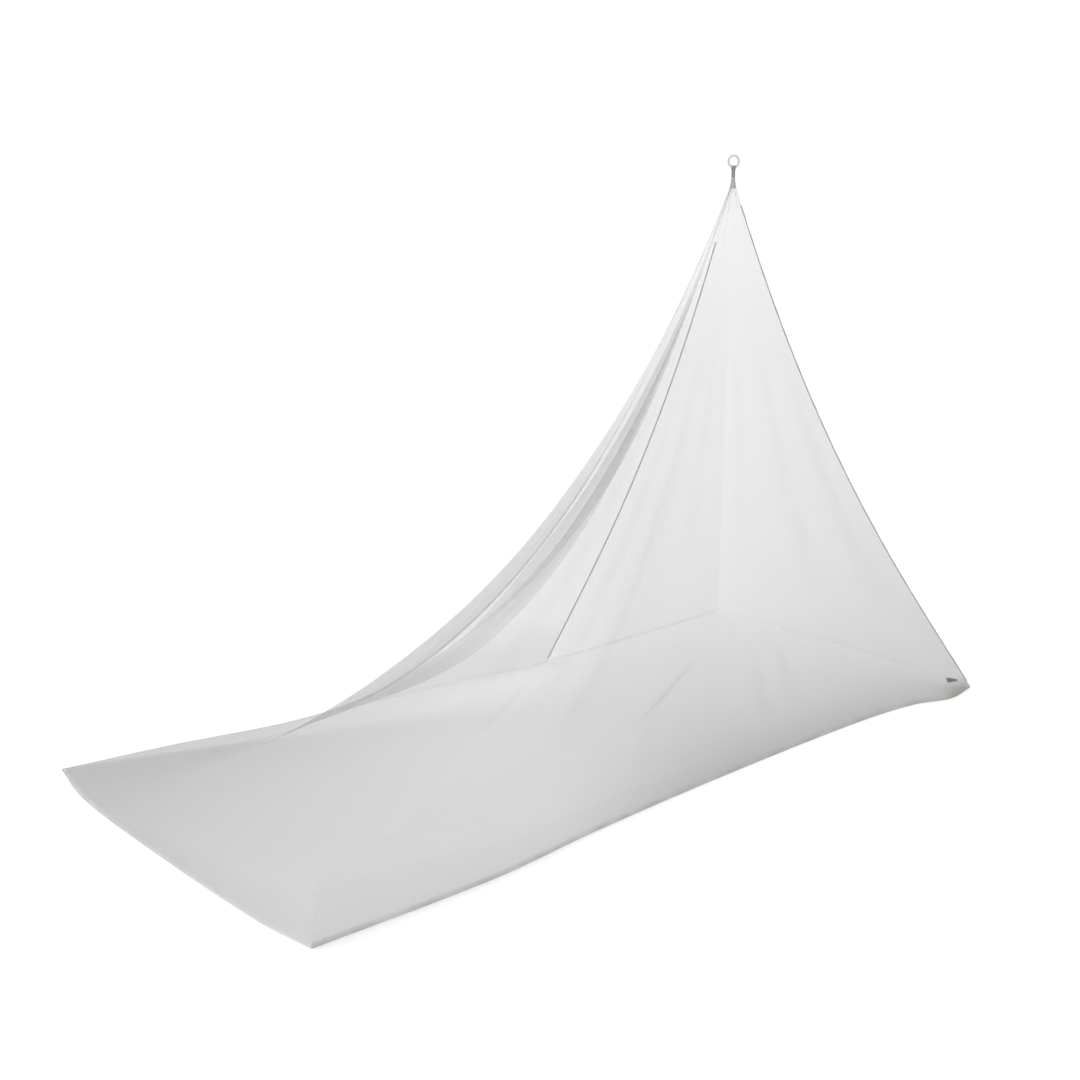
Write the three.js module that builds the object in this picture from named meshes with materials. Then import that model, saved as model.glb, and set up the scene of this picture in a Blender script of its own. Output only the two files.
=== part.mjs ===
// Mosquito net canopy for one sleeper, hung from a single ring.
// Four sides run from a hem that lies on the floor to one gathered neck near the head end. The foot
// end is long and low, the head end is steep, and the whole space inside is open to the floor.
// Units are millimetres, +Z is up, +X points from the foot to the head. The origin lies on the floor
// under the middle of the net.
import * as THREE from 'three';

// ---------------------------------------------------------------- driving dimensions
const GAP = 0.3;                        // clear space between neighbouring pieces
const CLOTH = { thick: 1.2, hemThick: 2.2, hemHigh: 12, hemStep: 3 };
const NECK = { x: 686, y: 6, z: 1496, radius: 7.5 };
const WALL_LEAN = 34;                   // how far the standing foot of the cloth leans inwards
const WALL_FADE = 3;                    // how quickly its height dies away up the slope
const FLOOR_SOFT = 9;                   // how softly the cloth leaves the floor
const GRID = { rows: 17, spread: 1.3, threadSteps: 160 };
const SEAM_SHIFT = 0.2;                 // each panel stops this far short of the seam line
const CREASE_STEP = 5;                  // distance at which the cloth round a seam is felt
const SEAM_HOLD = 110;                  // a seam keeps the cloth this near to it free of folds
const TAPE = { half: 3.5, thick: 0.9, clear: 0.5, firstRow: 2, rowsShort: 2 };
const PATCH = { side: 'near_side_panel', length: 186, fromSeam: 8, columns: 4, rows: 4, thick: 0.9, clear: 0.5 };
const TAB = { long: 62, wide: 15, thin: 5, thick: 1.4, fromCorner: 92, up: 47, tilt: 13, clear: 2.2 };
const RING = { mean: 16.8, wire: 3.2, turn: 22, sides: 12, steps: 40 };
const LOOP = { wide: 11, ply: 1.3, high: 31, steps: 10 };
const BUNCH = { bottom: 8.2, top: 5.6, high: 28, pleats: 9, pleatDepth: 0.16, levels: 8 };

// ---------------------------------------------------------------- the hem, one row for each section
// x, y: place on the floor. wall: height of the cloth that stands up before it slopes in.
// low, high: how much the slope sags below a straight line, at the hem and at the neck.
const SIDES = {
  foot_panel: { columns: 20, colour: 0xdadad8, hem: [
    { x: -1200, y: 612, wall: 3, low: 1.12, high: 0.9 },
    { x: -1234, y: 406, wall: 8, low: 0.95, high: 0.8 },
    { x: -1238, y: 46, wall: 44, low: 0.56, high: 0.73 },
    { x: -1222, y: -434, wall: 108, low: 0.74, high: 0.56 },
    { x: -1199, y: -602, wall: 128, low: 0.86, high: 0.45 },
  ] },
  near_side_panel: { columns: 24, colour: 0xd3d3d2, hem: [
    { x: -1199, y: -602, wall: 128, low: 0.86, high: 0.45 },
    { x: -742, y: -609, wall: 82, low: 0.78, high: 0.45 },
    { x: -411, y: -580, wall: 60, low: 0.7, high: 0.42 },
    { x: 35, y: -557, wall: 38, low: 0.5, high: 0.36 },
    { x: 640, y: -548, wall: 22, low: 0.32, high: 0.3 },
    { x: 905, y: -568, wall: 14, low: 0.28, high: 0.28 },
    { x: 1035, y: -609, wall: 10, low: 0.26, high: 0.27 },
    { x: 1177, y: -591, wall: 0, low: 0.24, high: 0.27 },
  ] },
  head_panel: { columns: 12, colour: 0xdcdcda, hem: [
    { x: 1177, y: -591, wall: 0, low: 0.24, high: 0.27 },
    { x: 1222, y: -194, wall: 14, low: 0.3, high: 0.2 },
    { x: 1226, y: 156, wall: 14, low: 0.3, high: 0.2 },
    { x: 1240, y: 498, wall: 0, low: 0.24, high: 0.22 },
  ] },
  far_side_head_panel: { columns: 10, colour: 0xe0e0de, hem: [
    { x: 1240, y: 498, wall: 0, low: 0.24, high: 0.22 },
    { x: 800, y: 471, wall: 5, low: 0.25, high: 0.3 },
    { x: 347, y: 452, wall: 0, low: 0.22, high: 0.3 },
  ] },
  far_side_foot_panel: { columns: 30, colour: 0xd8d8d6, hem: [
    { x: 347, y: 452, wall: 0, low: 0.22, high: 0.3 },
    { x: -90, y: 500, wall: 4, low: 0.25, high: 0.7 },
    { x: -560, y: 521, wall: 3, low: 0.86, high: 0.8 },
    { x: -900, y: 582, wall: 2, low: 1.05, high: 0.85 },
    { x: -1200, y: 612, wall: 3, low: 1.12, high: 0.9 },
  ] },
};

// ---------------------------------------------------------------- folds, one row for each
// side and at: where the fold meets the hem, in mm from the side's first corner. wide: half its width
// at the hem. deep: how far it stands out (or in, if negative). from, to: the stretch that it takes
// between the hem (0) and the neck (1).
const FOLDS = [
  { side: 'far_side_foot_panel', at: 420, wide: 80, deep: 24, from: 0.02, to: 0.97 },
  { side: 'far_side_foot_panel', at: 590, wide: 80, deep: -24, from: 0.1, to: 0.95 },
  { side: 'far_side_foot_panel', at: 790, wide: 90, deep: 24, from: 0.12, to: 0.97 },
  { side: 'far_side_foot_panel', at: 1010, wide: 100, deep: -22, from: 0.2, to: 0.93 },
  { side: 'far_side_foot_panel', at: 1270, wide: 110, deep: 16, from: 0.28, to: 0.95 },
  { side: 'foot_panel', at: 60, wide: 110, deep: -16, from: 0.3, to: 0.96 },
  { side: 'foot_panel', at: 330, wide: 110, deep: 12, from: 0.25, to: 0.95 },
  { side: 'foot_panel', at: 620, wide: 120, deep: -18, from: 0.2, to: 0.96 },
  { side: 'foot_panel', at: 900, wide: 120, deep: 12, from: 0.22, to: 0.95 },
  { side: 'foot_panel', at: 1120, wide: 100, deep: -14, from: 0.15, to: 0.95 },
  { side: 'near_side_panel', at: 230, wide: 150, deep: 16, from: 0.15, to: 0.96 },
  { side: 'near_side_panel', at: 600, wide: 170, deep: -16, from: 0.12, to: 0.93 },
  { side: 'near_side_panel', at: 1250, wide: 190, deep: -9, from: 0.05, to: 0.8 },
  { side: 'near_side_panel', at: 1960, wide: 150, deep: -10, from: 0.1, to: 0.95 },
  { side: 'head_panel', at: 330, wide: 130, deep: -12, from: 0.1, to: 0.95 },
  { side: 'head_panel', at: 760, wide: 130, deep: -10, from: 0.1, to: 0.92 },
];

// ---------------------------------------------------------------- small helpers
const clamp01 = (value) => Math.min(1, Math.max(0, value));
const smooth = (value) => { const t = clamp01(value); return t * t * (3 - 2 * t); };
const COLUMNS_READ = ['x', 'y', 'wall', 'low', 'high'];

// Distances of the rows of one side along its hem.
function runOf(hem) {
  const run = [0];
  for (let i = 1; i < hem.length; i += 1) {
    run.push(run[i - 1] + Math.hypot(hem[i].x - hem[i - 1].x, hem[i].y - hem[i - 1].y));
  }
  return run;
}

const sideNames = Object.keys(SIDES);
const sideRuns = sideNames.map((name) => runOf(SIDES[name].hem));
const sideStarts = [];
let hemLength = 0;
for (const run of sideRuns) {
  sideStarts.push(hemLength);
  hemLength += run[run.length - 1];
}

// A smooth curve through the rows of one side, read at a distance from its first corner.
function readSide(sideIndex, distance) {
  const hem = SIDES[sideNames[sideIndex]].hem;
  const run = sideRuns[sideIndex];
  let i = 0;
  while (i < run.length - 2 && distance > run[i + 1]) i += 1;
  const span = run[i + 1] - run[i];
  const t = clamp01((distance - run[i]) / span);
  const section = {};
  for (const column of COLUMNS_READ) {
    const slopeAt = (k) => {
      const a = Math.max(k - 1, 0);
      const b = Math.min(k + 1, hem.length - 1);
      return (hem[b][column] - hem[a][column]) / (run[b] - run[a]);
    };
    const start = hem[i][column];
    const end = hem[i + 1][column];
    section[column] = (2 * t ** 3 - 3 * t ** 2 + 1) * start + (t ** 3 - 2 * t ** 2 + t) * span * slopeAt(i)
      + (3 * t ** 2 - 2 * t ** 3) * end + (t ** 3 - t ** 2) * span * slopeAt(i + 1);
  }
  return section;
}

// The hem section at any distance round the whole hem.
function hemAt(position) {
  const around = ((position % hemLength) + hemLength) % hemLength;
  let sideIndex = sideNames.length - 1;
  while (sideStarts[sideIndex] > around) sideIndex -= 1;
  return readSide(sideIndex, around - sideStarts[sideIndex]);
}

// How far the folds move the cloth at a place round the hem and a share of the way to the neck.
function foldDepth(position, share) {
  const fromSeam = Math.min(...sideStarts.concat(hemLength).map((seam) => Math.abs(position - seam)));
  let depth = 0;
  for (const fold of FOLDS) {
    const away = position - sideStarts[sideNames.indexOf(fold.side)] - fold.at;
    const reach = (share - fold.from) / (fold.to - fold.from);
    if (reach <= 0 || reach >= 1) continue;
    const along = smooth(reach / 0.35) * smooth((1 - reach) / 0.4);
    depth += fold.deep * along * Math.exp(-((away / fold.wide) ** 2));
  }
  return depth * smooth(fromSeam / SEAM_HOLD);
}

// One thread of the net from the hem to the neck, before the folds: points with their distance run.
function threadAt(position) {
  const { x, y, wall, low, high } = hemAt(position);
  const angle = Math.atan2(y - NECK.y, x - NECK.x);
  const inward = new THREE.Vector2(-Math.cos(angle), -Math.sin(angle));
  const reach = Math.hypot(x - NECK.x, y - NECK.y) - NECK.radius;
  const points = [];
  const wallSteps = Math.round(GRID.threadSteps / 5);
  for (let k = 0; k <= GRID.threadSteps; k += 1) {
    const turn = (Math.PI / 2) * clamp01(k / wallSteps);
    const slope = clamp01((k - wallSteps) / (GRID.threadSteps - wallSteps));
    const across = WALL_LEAN * (1 - Math.cos(turn)) + (reach - WALL_LEAN) * slope;
    const share = across / reach;
    const straight = NECK.z * share * (1 - (low + high * share) * (1 - share));
    const lift = wall * Math.sin(turn) * (1 - share) ** WALL_FADE;
    const soft = FLOOR_SOFT * smooth(share * 12);
    const height = lift + (straight + Math.hypot(straight, soft)) / 2;
    points.push({
      place: new THREE.Vector3(x + inward.x * across, y + inward.y * across, Math.max(0, height)),
      share,
      run: 0,
    });
  }
  for (let k = 1; k < points.length; k += 1) {
    points[k].run = points[k - 1].run + points[k].place.distanceTo(points[k - 1].place);
  }
  return points;
}

// Distances up a thread at which the rows of the cloth's grid lie: the hem first, then the slope.
function rowRuns(total) {
  const runs = [0, CLOTH.hemHigh, CLOTH.hemHigh + CLOTH.hemStep];
  const start = runs[2];
  for (let j = 1; j <= GRID.rows; j += 1) {
    runs.push(start + (total - start) * (j / GRID.rows) ** GRID.spread);
  }
  return runs;
}

// The rows of one thread, as points of the smooth cloth with their share of the way to the neck.
function rowsAt(position) {
  const points = threadAt(position);
  const runs = rowRuns(points[points.length - 1].run);
  let k = 0;
  return runs.map((run) => {
    while (k < points.length - 2 && points[k + 1].run < run) k += 1;
    const t = clamp01((run - points[k].run) / (points[k + 1].run - points[k].run));
    return {
      place: points[k].place.clone().lerp(points[k + 1].place, t),
      share: points[k].share + (points[k + 1].share - points[k].share) * t,
    };
  });
}

// The outward normals of a grid of points, felt from each point's neighbours, and level at the neck.
function normalsOf(grid) {
  const direction = (from, to) => to.clone().sub(from).normalize();
  return grid.map((column, i) => column.map((place, j) => {
    const before = grid[Math.max(i - 1, 0)][j];
    const after = grid[Math.min(i + 1, grid.length - 1)][j];
    const below = column[Math.max(j - 1, 0)];
    const above = column[Math.min(j + 1, column.length - 1)];
    const along = new THREE.Vector3();
    if (i > 0) along.add(direction(before, place));
    if (i < grid.length - 1) along.add(direction(place, after));
    const upward = new THREE.Vector3();
    if (j > 0) upward.add(direction(below, place));
    if (j < column.length - 1) upward.add(direction(place, above));
    const normal = along.cross(upward);
    if (j === column.length - 1) normal.z = 0;
    return normal.normalize();
  }));
}

// The folded cloth over a list of places round the hem: points and outward normals, column by column.
function clothGrid(positions) {
  const threads = positions.map(rowsAt);
  const flat = threads.map((thread) => thread.map((row) => row.place));
  const flatNormals = normalsOf(flat);
  const folded = threads.map((thread, i) => thread.map((row, j) => {
    const moved = row.place.clone().addScaledVector(flatNormals[i][j], foldDepth(positions[i], row.share));
    moved.z = Math.max(0, moved.z);
    return moved;
  }));
  return { places: folded, normals: normalsOf(folded) };
}

// A closed slab between two grids of points of the same size, its faces pointing out.
function slabGeometry(inner, outer) {
  const vertices = [];
  const faces = [];
  const columns = inner.length;
  const rows = inner[0].length;
  for (const grid of [inner, outer]) {
    for (const column of grid) {
      for (const place of column) vertices.push(place.x, place.y, place.z);
    }
  }
  const at = (layer, i, j) => layer * columns * rows + i * rows + j;
  const quad = (a, b, c, d) => faces.push(a, b, c, a, c, d);
  for (let i = 0; i < columns - 1; i += 1) {
    for (let j = 0; j < rows - 1; j += 1) {
      quad(at(1, i, j), at(1, i + 1, j), at(1, i + 1, j + 1), at(1, i, j + 1));
      quad(at(0, i, j), at(0, i, j + 1), at(0, i + 1, j + 1), at(0, i + 1, j));
    }
    quad(at(0, i, 0), at(0, i + 1, 0), at(1, i + 1, 0), at(1, i, 0));
    quad(at(1, i, rows - 1), at(1, i + 1, rows - 1), at(0, i + 1, rows - 1), at(0, i, rows - 1));
  }
  for (let j = 0; j < rows - 1; j += 1) {
    quad(at(0, 0, j), at(1, 0, j), at(1, 0, j + 1), at(0, 0, j + 1));
    quad(at(1, columns - 1, j), at(0, columns - 1, j), at(0, columns - 1, j + 1), at(1, columns - 1, j + 1));
  }
  const geometry = new THREE.BufferGeometry();
  geometry.setAttribute('position', new THREE.Float32BufferAttribute(vertices, 3));
  geometry.setIndex(faces);
  return geometry;
}

function fabric(colour, roughness = 0.9) {
  return new THREE.MeshStandardMaterial({ color: colour, roughness, metalness: 0 });
}

function piece(name, geometry, material) {
  const mesh = new THREE.Mesh(geometry, material);
  mesh.name = name;
  return mesh;
}

// ---------------------------------------------------------------- the panels
// Thickness of a panel at a row of its grid: double in the hem, single above it.
const thicknessAt = (row) => (row < 2 ? CLOTH.hemThick : CLOTH.thick);

// Length of one side's hem.
const sideLength = (sideIndex) => sideRuns[sideIndex][sideRuns[sideIndex].length - 1];

// Places round the hem for the columns of one side; the patched side has its own under the patch.
function columnsOf(sideIndex) {
  const name = sideNames[sideIndex];
  const length = sideLength(sideIndex);
  const plain = name === PATCH.side ? length - PATCH.length : length;
  const distances = [];
  for (let i = 0; i <= SIDES[name].columns; i += 1) distances.push((plain * i) / SIDES[name].columns);
  if (name === PATCH.side) {
    const step = (PATCH.length - PATCH.fromSeam) / (PATCH.columns - 1);
    for (let i = 1; i < PATCH.columns; i += 1) distances.push(plain + i * step);
    distances.push(length);
  }
  return distances.map((distance) => sideStarts[sideIndex] + distance);
}

// The cloth at a seam, felt a step to each side of it, so that the two panels meet it alike.
const seamGrid = (position) => clothGrid([position - CREASE_STEP, position, position + CREASE_STEP]);

// The two faces of one side's cloth, column by column, with its outward normals.
function clothOf(sideIndex) {
  const own = columnsOf(sideIndex);
  const { places, normals } = clothGrid(own);
  const last = own.length - 1;
  for (const [i, inwards] of [[0, SEAM_SHIFT], [last, -SEAM_SHIFT]]) {
    const seam = seamGrid(own[i]);
    normals[i] = seam.normals[1];
    places[i] = seam.places[1].map((place, j) => {
      const across = seam.places[2][j].clone().sub(seam.places[0][j]).normalize();
      return place.clone().addScaledVector(across, inwards);
    });
  }
  const outer = places.map((column, i) => column.map(
    (place, j) => place.clone().addScaledVector(normals[i][j], thicknessAt(j)),
  ));
  return { inner: places, outer, normals };
}

const cloths = sideNames.map((name, sideIndex) => clothOf(sideIndex));
const panel = (name, sideIndex) => piece(
  name,
  slabGeometry(cloths[sideIndex].inner, cloths[sideIndex].outer),
  fabric(SIDES[name].colour),
);

// ---------------------------------------------------------------- tapes over two of the seams
// A tape follows the seam at the start of a side, outside the cloth or inside it.
function seamTape(name, sideIndex, outside) {
  const { places, normals } = seamGrid(sideStarts[sideIndex]);
  const neighbours = [
    cloths[(sideIndex + sideNames.length - 1) % sideNames.length].inner.at(-2),
    cloths[sideIndex].inner[1],
  ];
  const near = outside ? CLOTH.thick + TAPE.clear : -TAPE.clear - TAPE.thick;
  const faces = [near, near + TAPE.thick].map((offset) => {
    const columns = [[], [], []];
    for (let j = TAPE.firstRow; j < places[1].length - TAPE.rowsShort; j += 1) {
      const middle = places[1][j];
      const ridge = normals[1][j];
      neighbours.forEach((column, side) => {
        const away = column[j].clone().sub(middle).normalize();
        const facing = ridge.clone().addScaledVector(away, -ridge.dot(away)).normalize();
        columns[side * 2].push(middle.clone().addScaledVector(away, TAPE.half).addScaledVector(facing, offset));
        if (side === 0) columns[1].push(middle.clone().addScaledVector(ridge, offset / ridge.dot(facing)));
      });
    }
    return columns;
  });
  return piece(name, slabGeometry(faces[0], faces[1]), fabric(0x8f8f90));
}

// ---------------------------------------------------------------- corner patch and tab
const patchedSide = sideNames.indexOf(PATCH.side);

// The doubled corner lies on the outside of the near side, beside the head corner.
function cornerPatch() {
  const { outer, normals } = cloths[patchedSide];
  const lifted = (amount) => outer.map((column, i) => column.slice(0, PATCH.rows)
    .map((place, j) => place.clone().addScaledVector(normals[i][j], amount)))
    .slice(-PATCH.columns - 1, -1);
  const slab = slabGeometry(lifted(PATCH.clear), lifted(PATCH.clear + PATCH.thick));
  return piece('corner_patch', slab, fabric(0xa9aaa4));
}

// A small dark tab, round at one end and drawn out at the other, flat against the cloth.
function cornerTab() {
  const round = TAB.wide / 2;
  const shape = new THREE.Shape();
  shape.absarc(-TAB.long / 2 + round, 0, round, Math.PI / 2, (3 * Math.PI) / 2, false);
  shape.lineTo(TAB.long / 2, -TAB.thin / 2);
  shape.lineTo(TAB.long / 2, TAB.thin / 2);
  shape.closePath();
  const geometry = new THREE.ExtrudeGeometry(shape, { depth: TAB.thick, bevelEnabled: false, curveSegments: 8 });
  const position = sideStarts[patchedSide] + sideLength(patchedSide) - TAB.fromCorner;
  const heightAt = (at, run) => {
    const points = threadAt(at);
    const above = points.find((point) => point.run >= run);
    return above.place;
  };
  const along = heightAt(position + TAB.long / 2, TAB.up).clone()
    .sub(heightAt(position - TAB.long / 2, TAB.up)).normalize();
  const upward = heightAt(position, TAB.up + TAB.wide).clone()
    .sub(heightAt(position, TAB.up - TAB.wide)).normalize();
  const normal = along.clone().cross(upward).normalize();
  const mesh = piece('corner_tab', geometry, fabric(0x3c3c3e, 0.75));
  const basis = new THREE.Matrix4().makeBasis(along, normal.clone().cross(along), normal);
  mesh.setRotationFromMatrix(basis.multiply(new THREE.Matrix4().makeRotationZ(THREE.MathUtils.degToRad(-TAB.tilt))));
  mesh.position.copy(heightAt(position, TAB.up)).addScaledVector(normal, CLOTH.thick + TAB.clear);
  return mesh;
}

// ---------------------------------------------------------------- neck, loop and ring
// The bunched tip of all five panels, pleated and drawn in towards the loop.
function gatheredNeck() {
  const sides = BUNCH.pleats * 4;
  const bottom = NECK.z + GAP;
  const vertices = [0, 0, bottom];
  const faces = [];
  for (let k = 0; k <= BUNCH.levels; k += 1) {
    const t = k / BUNCH.levels;
    const radius = BUNCH.bottom + (BUNCH.top - BUNCH.bottom) * smooth(t);
    for (let i = 0; i < sides; i += 1) {
      const angle = (2 * Math.PI * i) / sides;
      const pleat = 1 + BUNCH.pleatDepth * Math.cos(BUNCH.pleats * angle + 0.9 * t) * (1 - 0.4 * t);
      vertices.push(radius * pleat * Math.cos(angle), radius * pleat * Math.sin(angle), bottom + BUNCH.high * t);
    }
  }
  vertices.push(0, 0, bottom + BUNCH.high);
  const at = (k, i) => 1 + k * sides + (i % sides);
  const top = vertices.length / 3 - 1;
  for (let i = 0; i < sides; i += 1) {
    faces.push(0, at(0, i + 1), at(0, i));
    faces.push(top, at(BUNCH.levels, i), at(BUNCH.levels, i + 1));
    for (let k = 0; k < BUNCH.levels; k += 1) {
      faces.push(at(k, i), at(k, i + 1), at(k + 1, i + 1));
      faces.push(at(k, i), at(k + 1, i + 1), at(k + 1, i));
    }
  }
  const geometry = new THREE.BufferGeometry();
  geometry.setAttribute('position', new THREE.Float32BufferAttribute(vertices, 3));
  geometry.setIndex(faces);
  const mesh = piece('gathered_neck', geometry, fabric(0xb9b9b8));
  mesh.position.set(NECK.x, NECK.y, 0);
  return mesh;
}

const loopFoot = NECK.z + GAP + BUNCH.high + GAP;
const wireRise = (LOOP.wide / 2) ** 2 / (2 * RING.mean);    // how far the ring curves up inside the loop
const eyeRadius = RING.wire + wireRise / 2 + GAP;           // inside of the loop, round the ring's wire
const eyeHeight = loopFoot + LOOP.high;

// Webbing folded over the ring's wire, its two ends lying together below.
function hangingLoop() {
  const outerRadius = eyeRadius + LOOP.ply;
  const shape = new THREE.Shape();
  shape.moveTo(-LOOP.ply, loopFoot);
  shape.lineTo(LOOP.ply, loopFoot);
  shape.lineTo(LOOP.ply, eyeHeight - 2.1 * outerRadius);
  shape.lineTo(outerRadius * Math.cos(-0.5), eyeHeight + outerRadius * Math.sin(-0.5));
  shape.absarc(0, eyeHeight, outerRadius, -0.5, Math.PI + 0.5, false);
  shape.lineTo(-LOOP.ply, eyeHeight - 2.1 * outerRadius);
  shape.closePath();
  const eye = new THREE.Path();
  eye.absarc(0, eyeHeight, eyeRadius, 0, 2 * Math.PI, true);
  shape.holes.push(eye);
  const geometry = new THREE.ExtrudeGeometry(shape, {
    depth: LOOP.wide, bevelEnabled: false, curveSegments: LOOP.steps,
  });
  geometry.translate(0, 0, -LOOP.wide / 2);
  geometry.rotateX(Math.PI / 2);
  geometry.rotateZ(Math.PI / 2);
  return piece('hanging_loop', geometry, fabric(0x4a4a4c, 0.8));
}

function hangRing() {
  const geometry = new THREE.TorusGeometry(RING.mean, RING.wire, RING.sides, RING.steps);
  geometry.rotateX(Math.PI / 2);
  geometry.translate(0, 0, eyeHeight - wireRise / 2 + RING.mean);
  const material = new THREE.MeshStandardMaterial({ color: 0xeeeeec, roughness: 0.35, metalness: 0 });
  return piece('hang_ring', geometry, material);
}

// The loop and the ring turn together about the neck's upright.
function hanger() {
  const group = new THREE.Group();
  group.add(hangingLoop(), hangRing());
  group.position.set(NECK.x, NECK.y, 0);
  group.rotation.z = THREE.MathUtils.degToRad(-RING.turn);
  return group;
}

// ---------------------------------------------------------------- the canopy
const canopy = new THREE.Group();
sideNames.forEach((name, sideIndex) => canopy.add(panel(name, sideIndex)));
canopy.add(
  seamTape('far_side_seam_tape', sideNames.indexOf('far_side_foot_panel'), false),
  seamTape('head_corner_seam_tape', sideNames.indexOf('head_panel'), true),
  cornerPatch(),
  cornerTab(),
  gatheredNeck(),
  hanger(),
);

export default canopy;
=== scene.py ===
"""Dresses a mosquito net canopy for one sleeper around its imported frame.

Five panels of fine netting run from a hem on the floor to one gathered neck near the head end. A dark
webbing loop and a ring stand on the neck. Every new piece rides on the frame's one body and stands for
the solid of the same sub-part. The cloth's shape is worked out thread by thread in millimetres, from the
same hem, neck and folds as the solids, and meshes are in metres.
"""

from __future__ import annotations

import logging
import math
from dataclasses import dataclass
from enum import Enum
from typing import Any, Callable, Iterable, Sequence

import bmesh
import bpy
from mathutils import Matrix, Vector

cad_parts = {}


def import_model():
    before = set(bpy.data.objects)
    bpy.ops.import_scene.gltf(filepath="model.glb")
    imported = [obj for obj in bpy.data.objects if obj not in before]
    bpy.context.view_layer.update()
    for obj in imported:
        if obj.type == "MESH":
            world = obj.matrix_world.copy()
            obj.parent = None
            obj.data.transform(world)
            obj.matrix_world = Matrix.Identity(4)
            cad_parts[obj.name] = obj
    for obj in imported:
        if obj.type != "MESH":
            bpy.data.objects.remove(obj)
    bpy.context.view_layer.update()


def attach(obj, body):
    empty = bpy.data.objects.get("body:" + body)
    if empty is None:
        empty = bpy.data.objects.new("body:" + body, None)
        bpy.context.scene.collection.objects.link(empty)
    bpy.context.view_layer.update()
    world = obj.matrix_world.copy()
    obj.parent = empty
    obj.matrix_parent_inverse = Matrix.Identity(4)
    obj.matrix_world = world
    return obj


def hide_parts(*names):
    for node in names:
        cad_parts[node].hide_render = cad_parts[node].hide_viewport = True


LOG = logging.getLogger("canopy")

MM = 0.001
WELD_M = 1e-6
BODY = "root"
UV_NAME = "cloth"
CREASE_NAME = "cloth_crease"
THICKNESS_GROUP = "thickness"
NECK_MM = (686.0, 6.0, 1496.0)
CAMERA_M = (-2.4765, -2.738, 1.381)


# --------------------------------------------------------------------------- the drape


class Side(Enum):
    """The five panels of netting, in the order in which their hems follow each other."""

    FOOT = "foot_panel"
    NEAR = "near_side_panel"
    HEAD = "head_panel"
    FAR_HEAD = "far_side_head_panel"
    FAR_FOOT = "far_side_foot_panel"


@dataclass(frozen=True)
class HemSection:
    """One section of the hem, in mm: its place, the standing wall above it and the slope's sag."""

    x: float
    y: float
    wall: float
    low: float
    high: float


@dataclass(frozen=True)
class Fold:
    """One fold or crease: where it meets the hem, half its width, its depth and its reach.

    Places and sizes are in mm. Its reach is in shares of the way to the neck, and its slant is how far it
    would wander along the hem over that whole way.
    """

    side: Side
    at: float
    wide: float
    deep: float
    start: float
    end: float
    slant: float = 0.0


HEMS: dict[Side, tuple[HemSection, ...]] = {
    Side.FOOT: (
        HemSection(-1200, 612, 3, 1.12, 0.9),
        HemSection(-1234, 406, 8, 0.95, 0.8),
        HemSection(-1238, 46, 44, 0.56, 0.73),
        HemSection(-1222, -434, 108, 0.74, 0.56),
        HemSection(-1199, -602, 128, 0.86, 0.45),
    ),
    Side.NEAR: (
        HemSection(-1199, -602, 128, 0.86, 0.45),
        HemSection(-742, -609, 82, 0.78, 0.45),
        HemSection(-411, -580, 60, 0.7, 0.42),
        HemSection(35, -557, 38, 0.5, 0.36),
        HemSection(640, -548, 22, 0.32, 0.3),
        HemSection(905, -568, 14, 0.28, 0.28),
        HemSection(1035, -609, 10, 0.26, 0.27),
        HemSection(1177, -591, 0, 0.24, 0.27),
    ),
    Side.HEAD: (
        HemSection(1177, -591, 0, 0.24, 0.27),
        HemSection(1222, -194, 14, 0.3, 0.2),
        HemSection(1226, 156, 14, 0.3, 0.2),
        HemSection(1240, 498, 0, 0.24, 0.22),
    ),
    Side.FAR_HEAD: (
        HemSection(1240, 498, 0, 0.24, 0.22),
        HemSection(800, 471, 5, 0.25, 0.3),
        HemSection(347, 452, 0, 0.22, 0.3),
    ),
    Side.FAR_FOOT: (
        HemSection(347, 452, 0, 0.22, 0.3),
        HemSection(-90, 500, 4, 0.25, 0.7),
        HemSection(-560, 521, 3, 0.86, 0.8),
        HemSection(-900, 582, 2, 1.05, 0.85),
        HemSection(-1200, 612, 3, 1.12, 0.9),
    ),
}

FOLDS: tuple[Fold, ...] = (
    Fold(Side.FAR_FOOT, 420, 80, 24, 0.02, 0.97),
    Fold(Side.FAR_FOOT, 590, 80, -24, 0.1, 0.95),
    Fold(Side.FAR_FOOT, 790, 90, 24, 0.12, 0.97),
    Fold(Side.FAR_FOOT, 1010, 100, -22, 0.2, 0.93),
    Fold(Side.FAR_FOOT, 1270, 110, 16, 0.28, 0.95),
    Fold(Side.FOOT, 60, 110, -16, 0.3, 0.96),
    Fold(Side.FOOT, 330, 110, 12, 0.25, 0.95),
    Fold(Side.FOOT, 620, 120, -18, 0.2, 0.96),
    Fold(Side.FOOT, 900, 120, 12, 0.22, 0.95),
    Fold(Side.FOOT, 1120, 100, -14, 0.15, 0.95),
    Fold(Side.NEAR, 230, 150, 16, 0.15, 0.96),
    Fold(Side.NEAR, 600, 170, -16, 0.12, 0.93),
    Fold(Side.NEAR, 1250, 190, -9, 0.05, 0.8),
    Fold(Side.NEAR, 1960, 150, -10, 0.1, 0.95),
    Fold(Side.HEAD, 330, 130, -12, 0.1, 0.95),
    Fold(Side.HEAD, 760, 130, -10, 0.1, 0.92),
)

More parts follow.
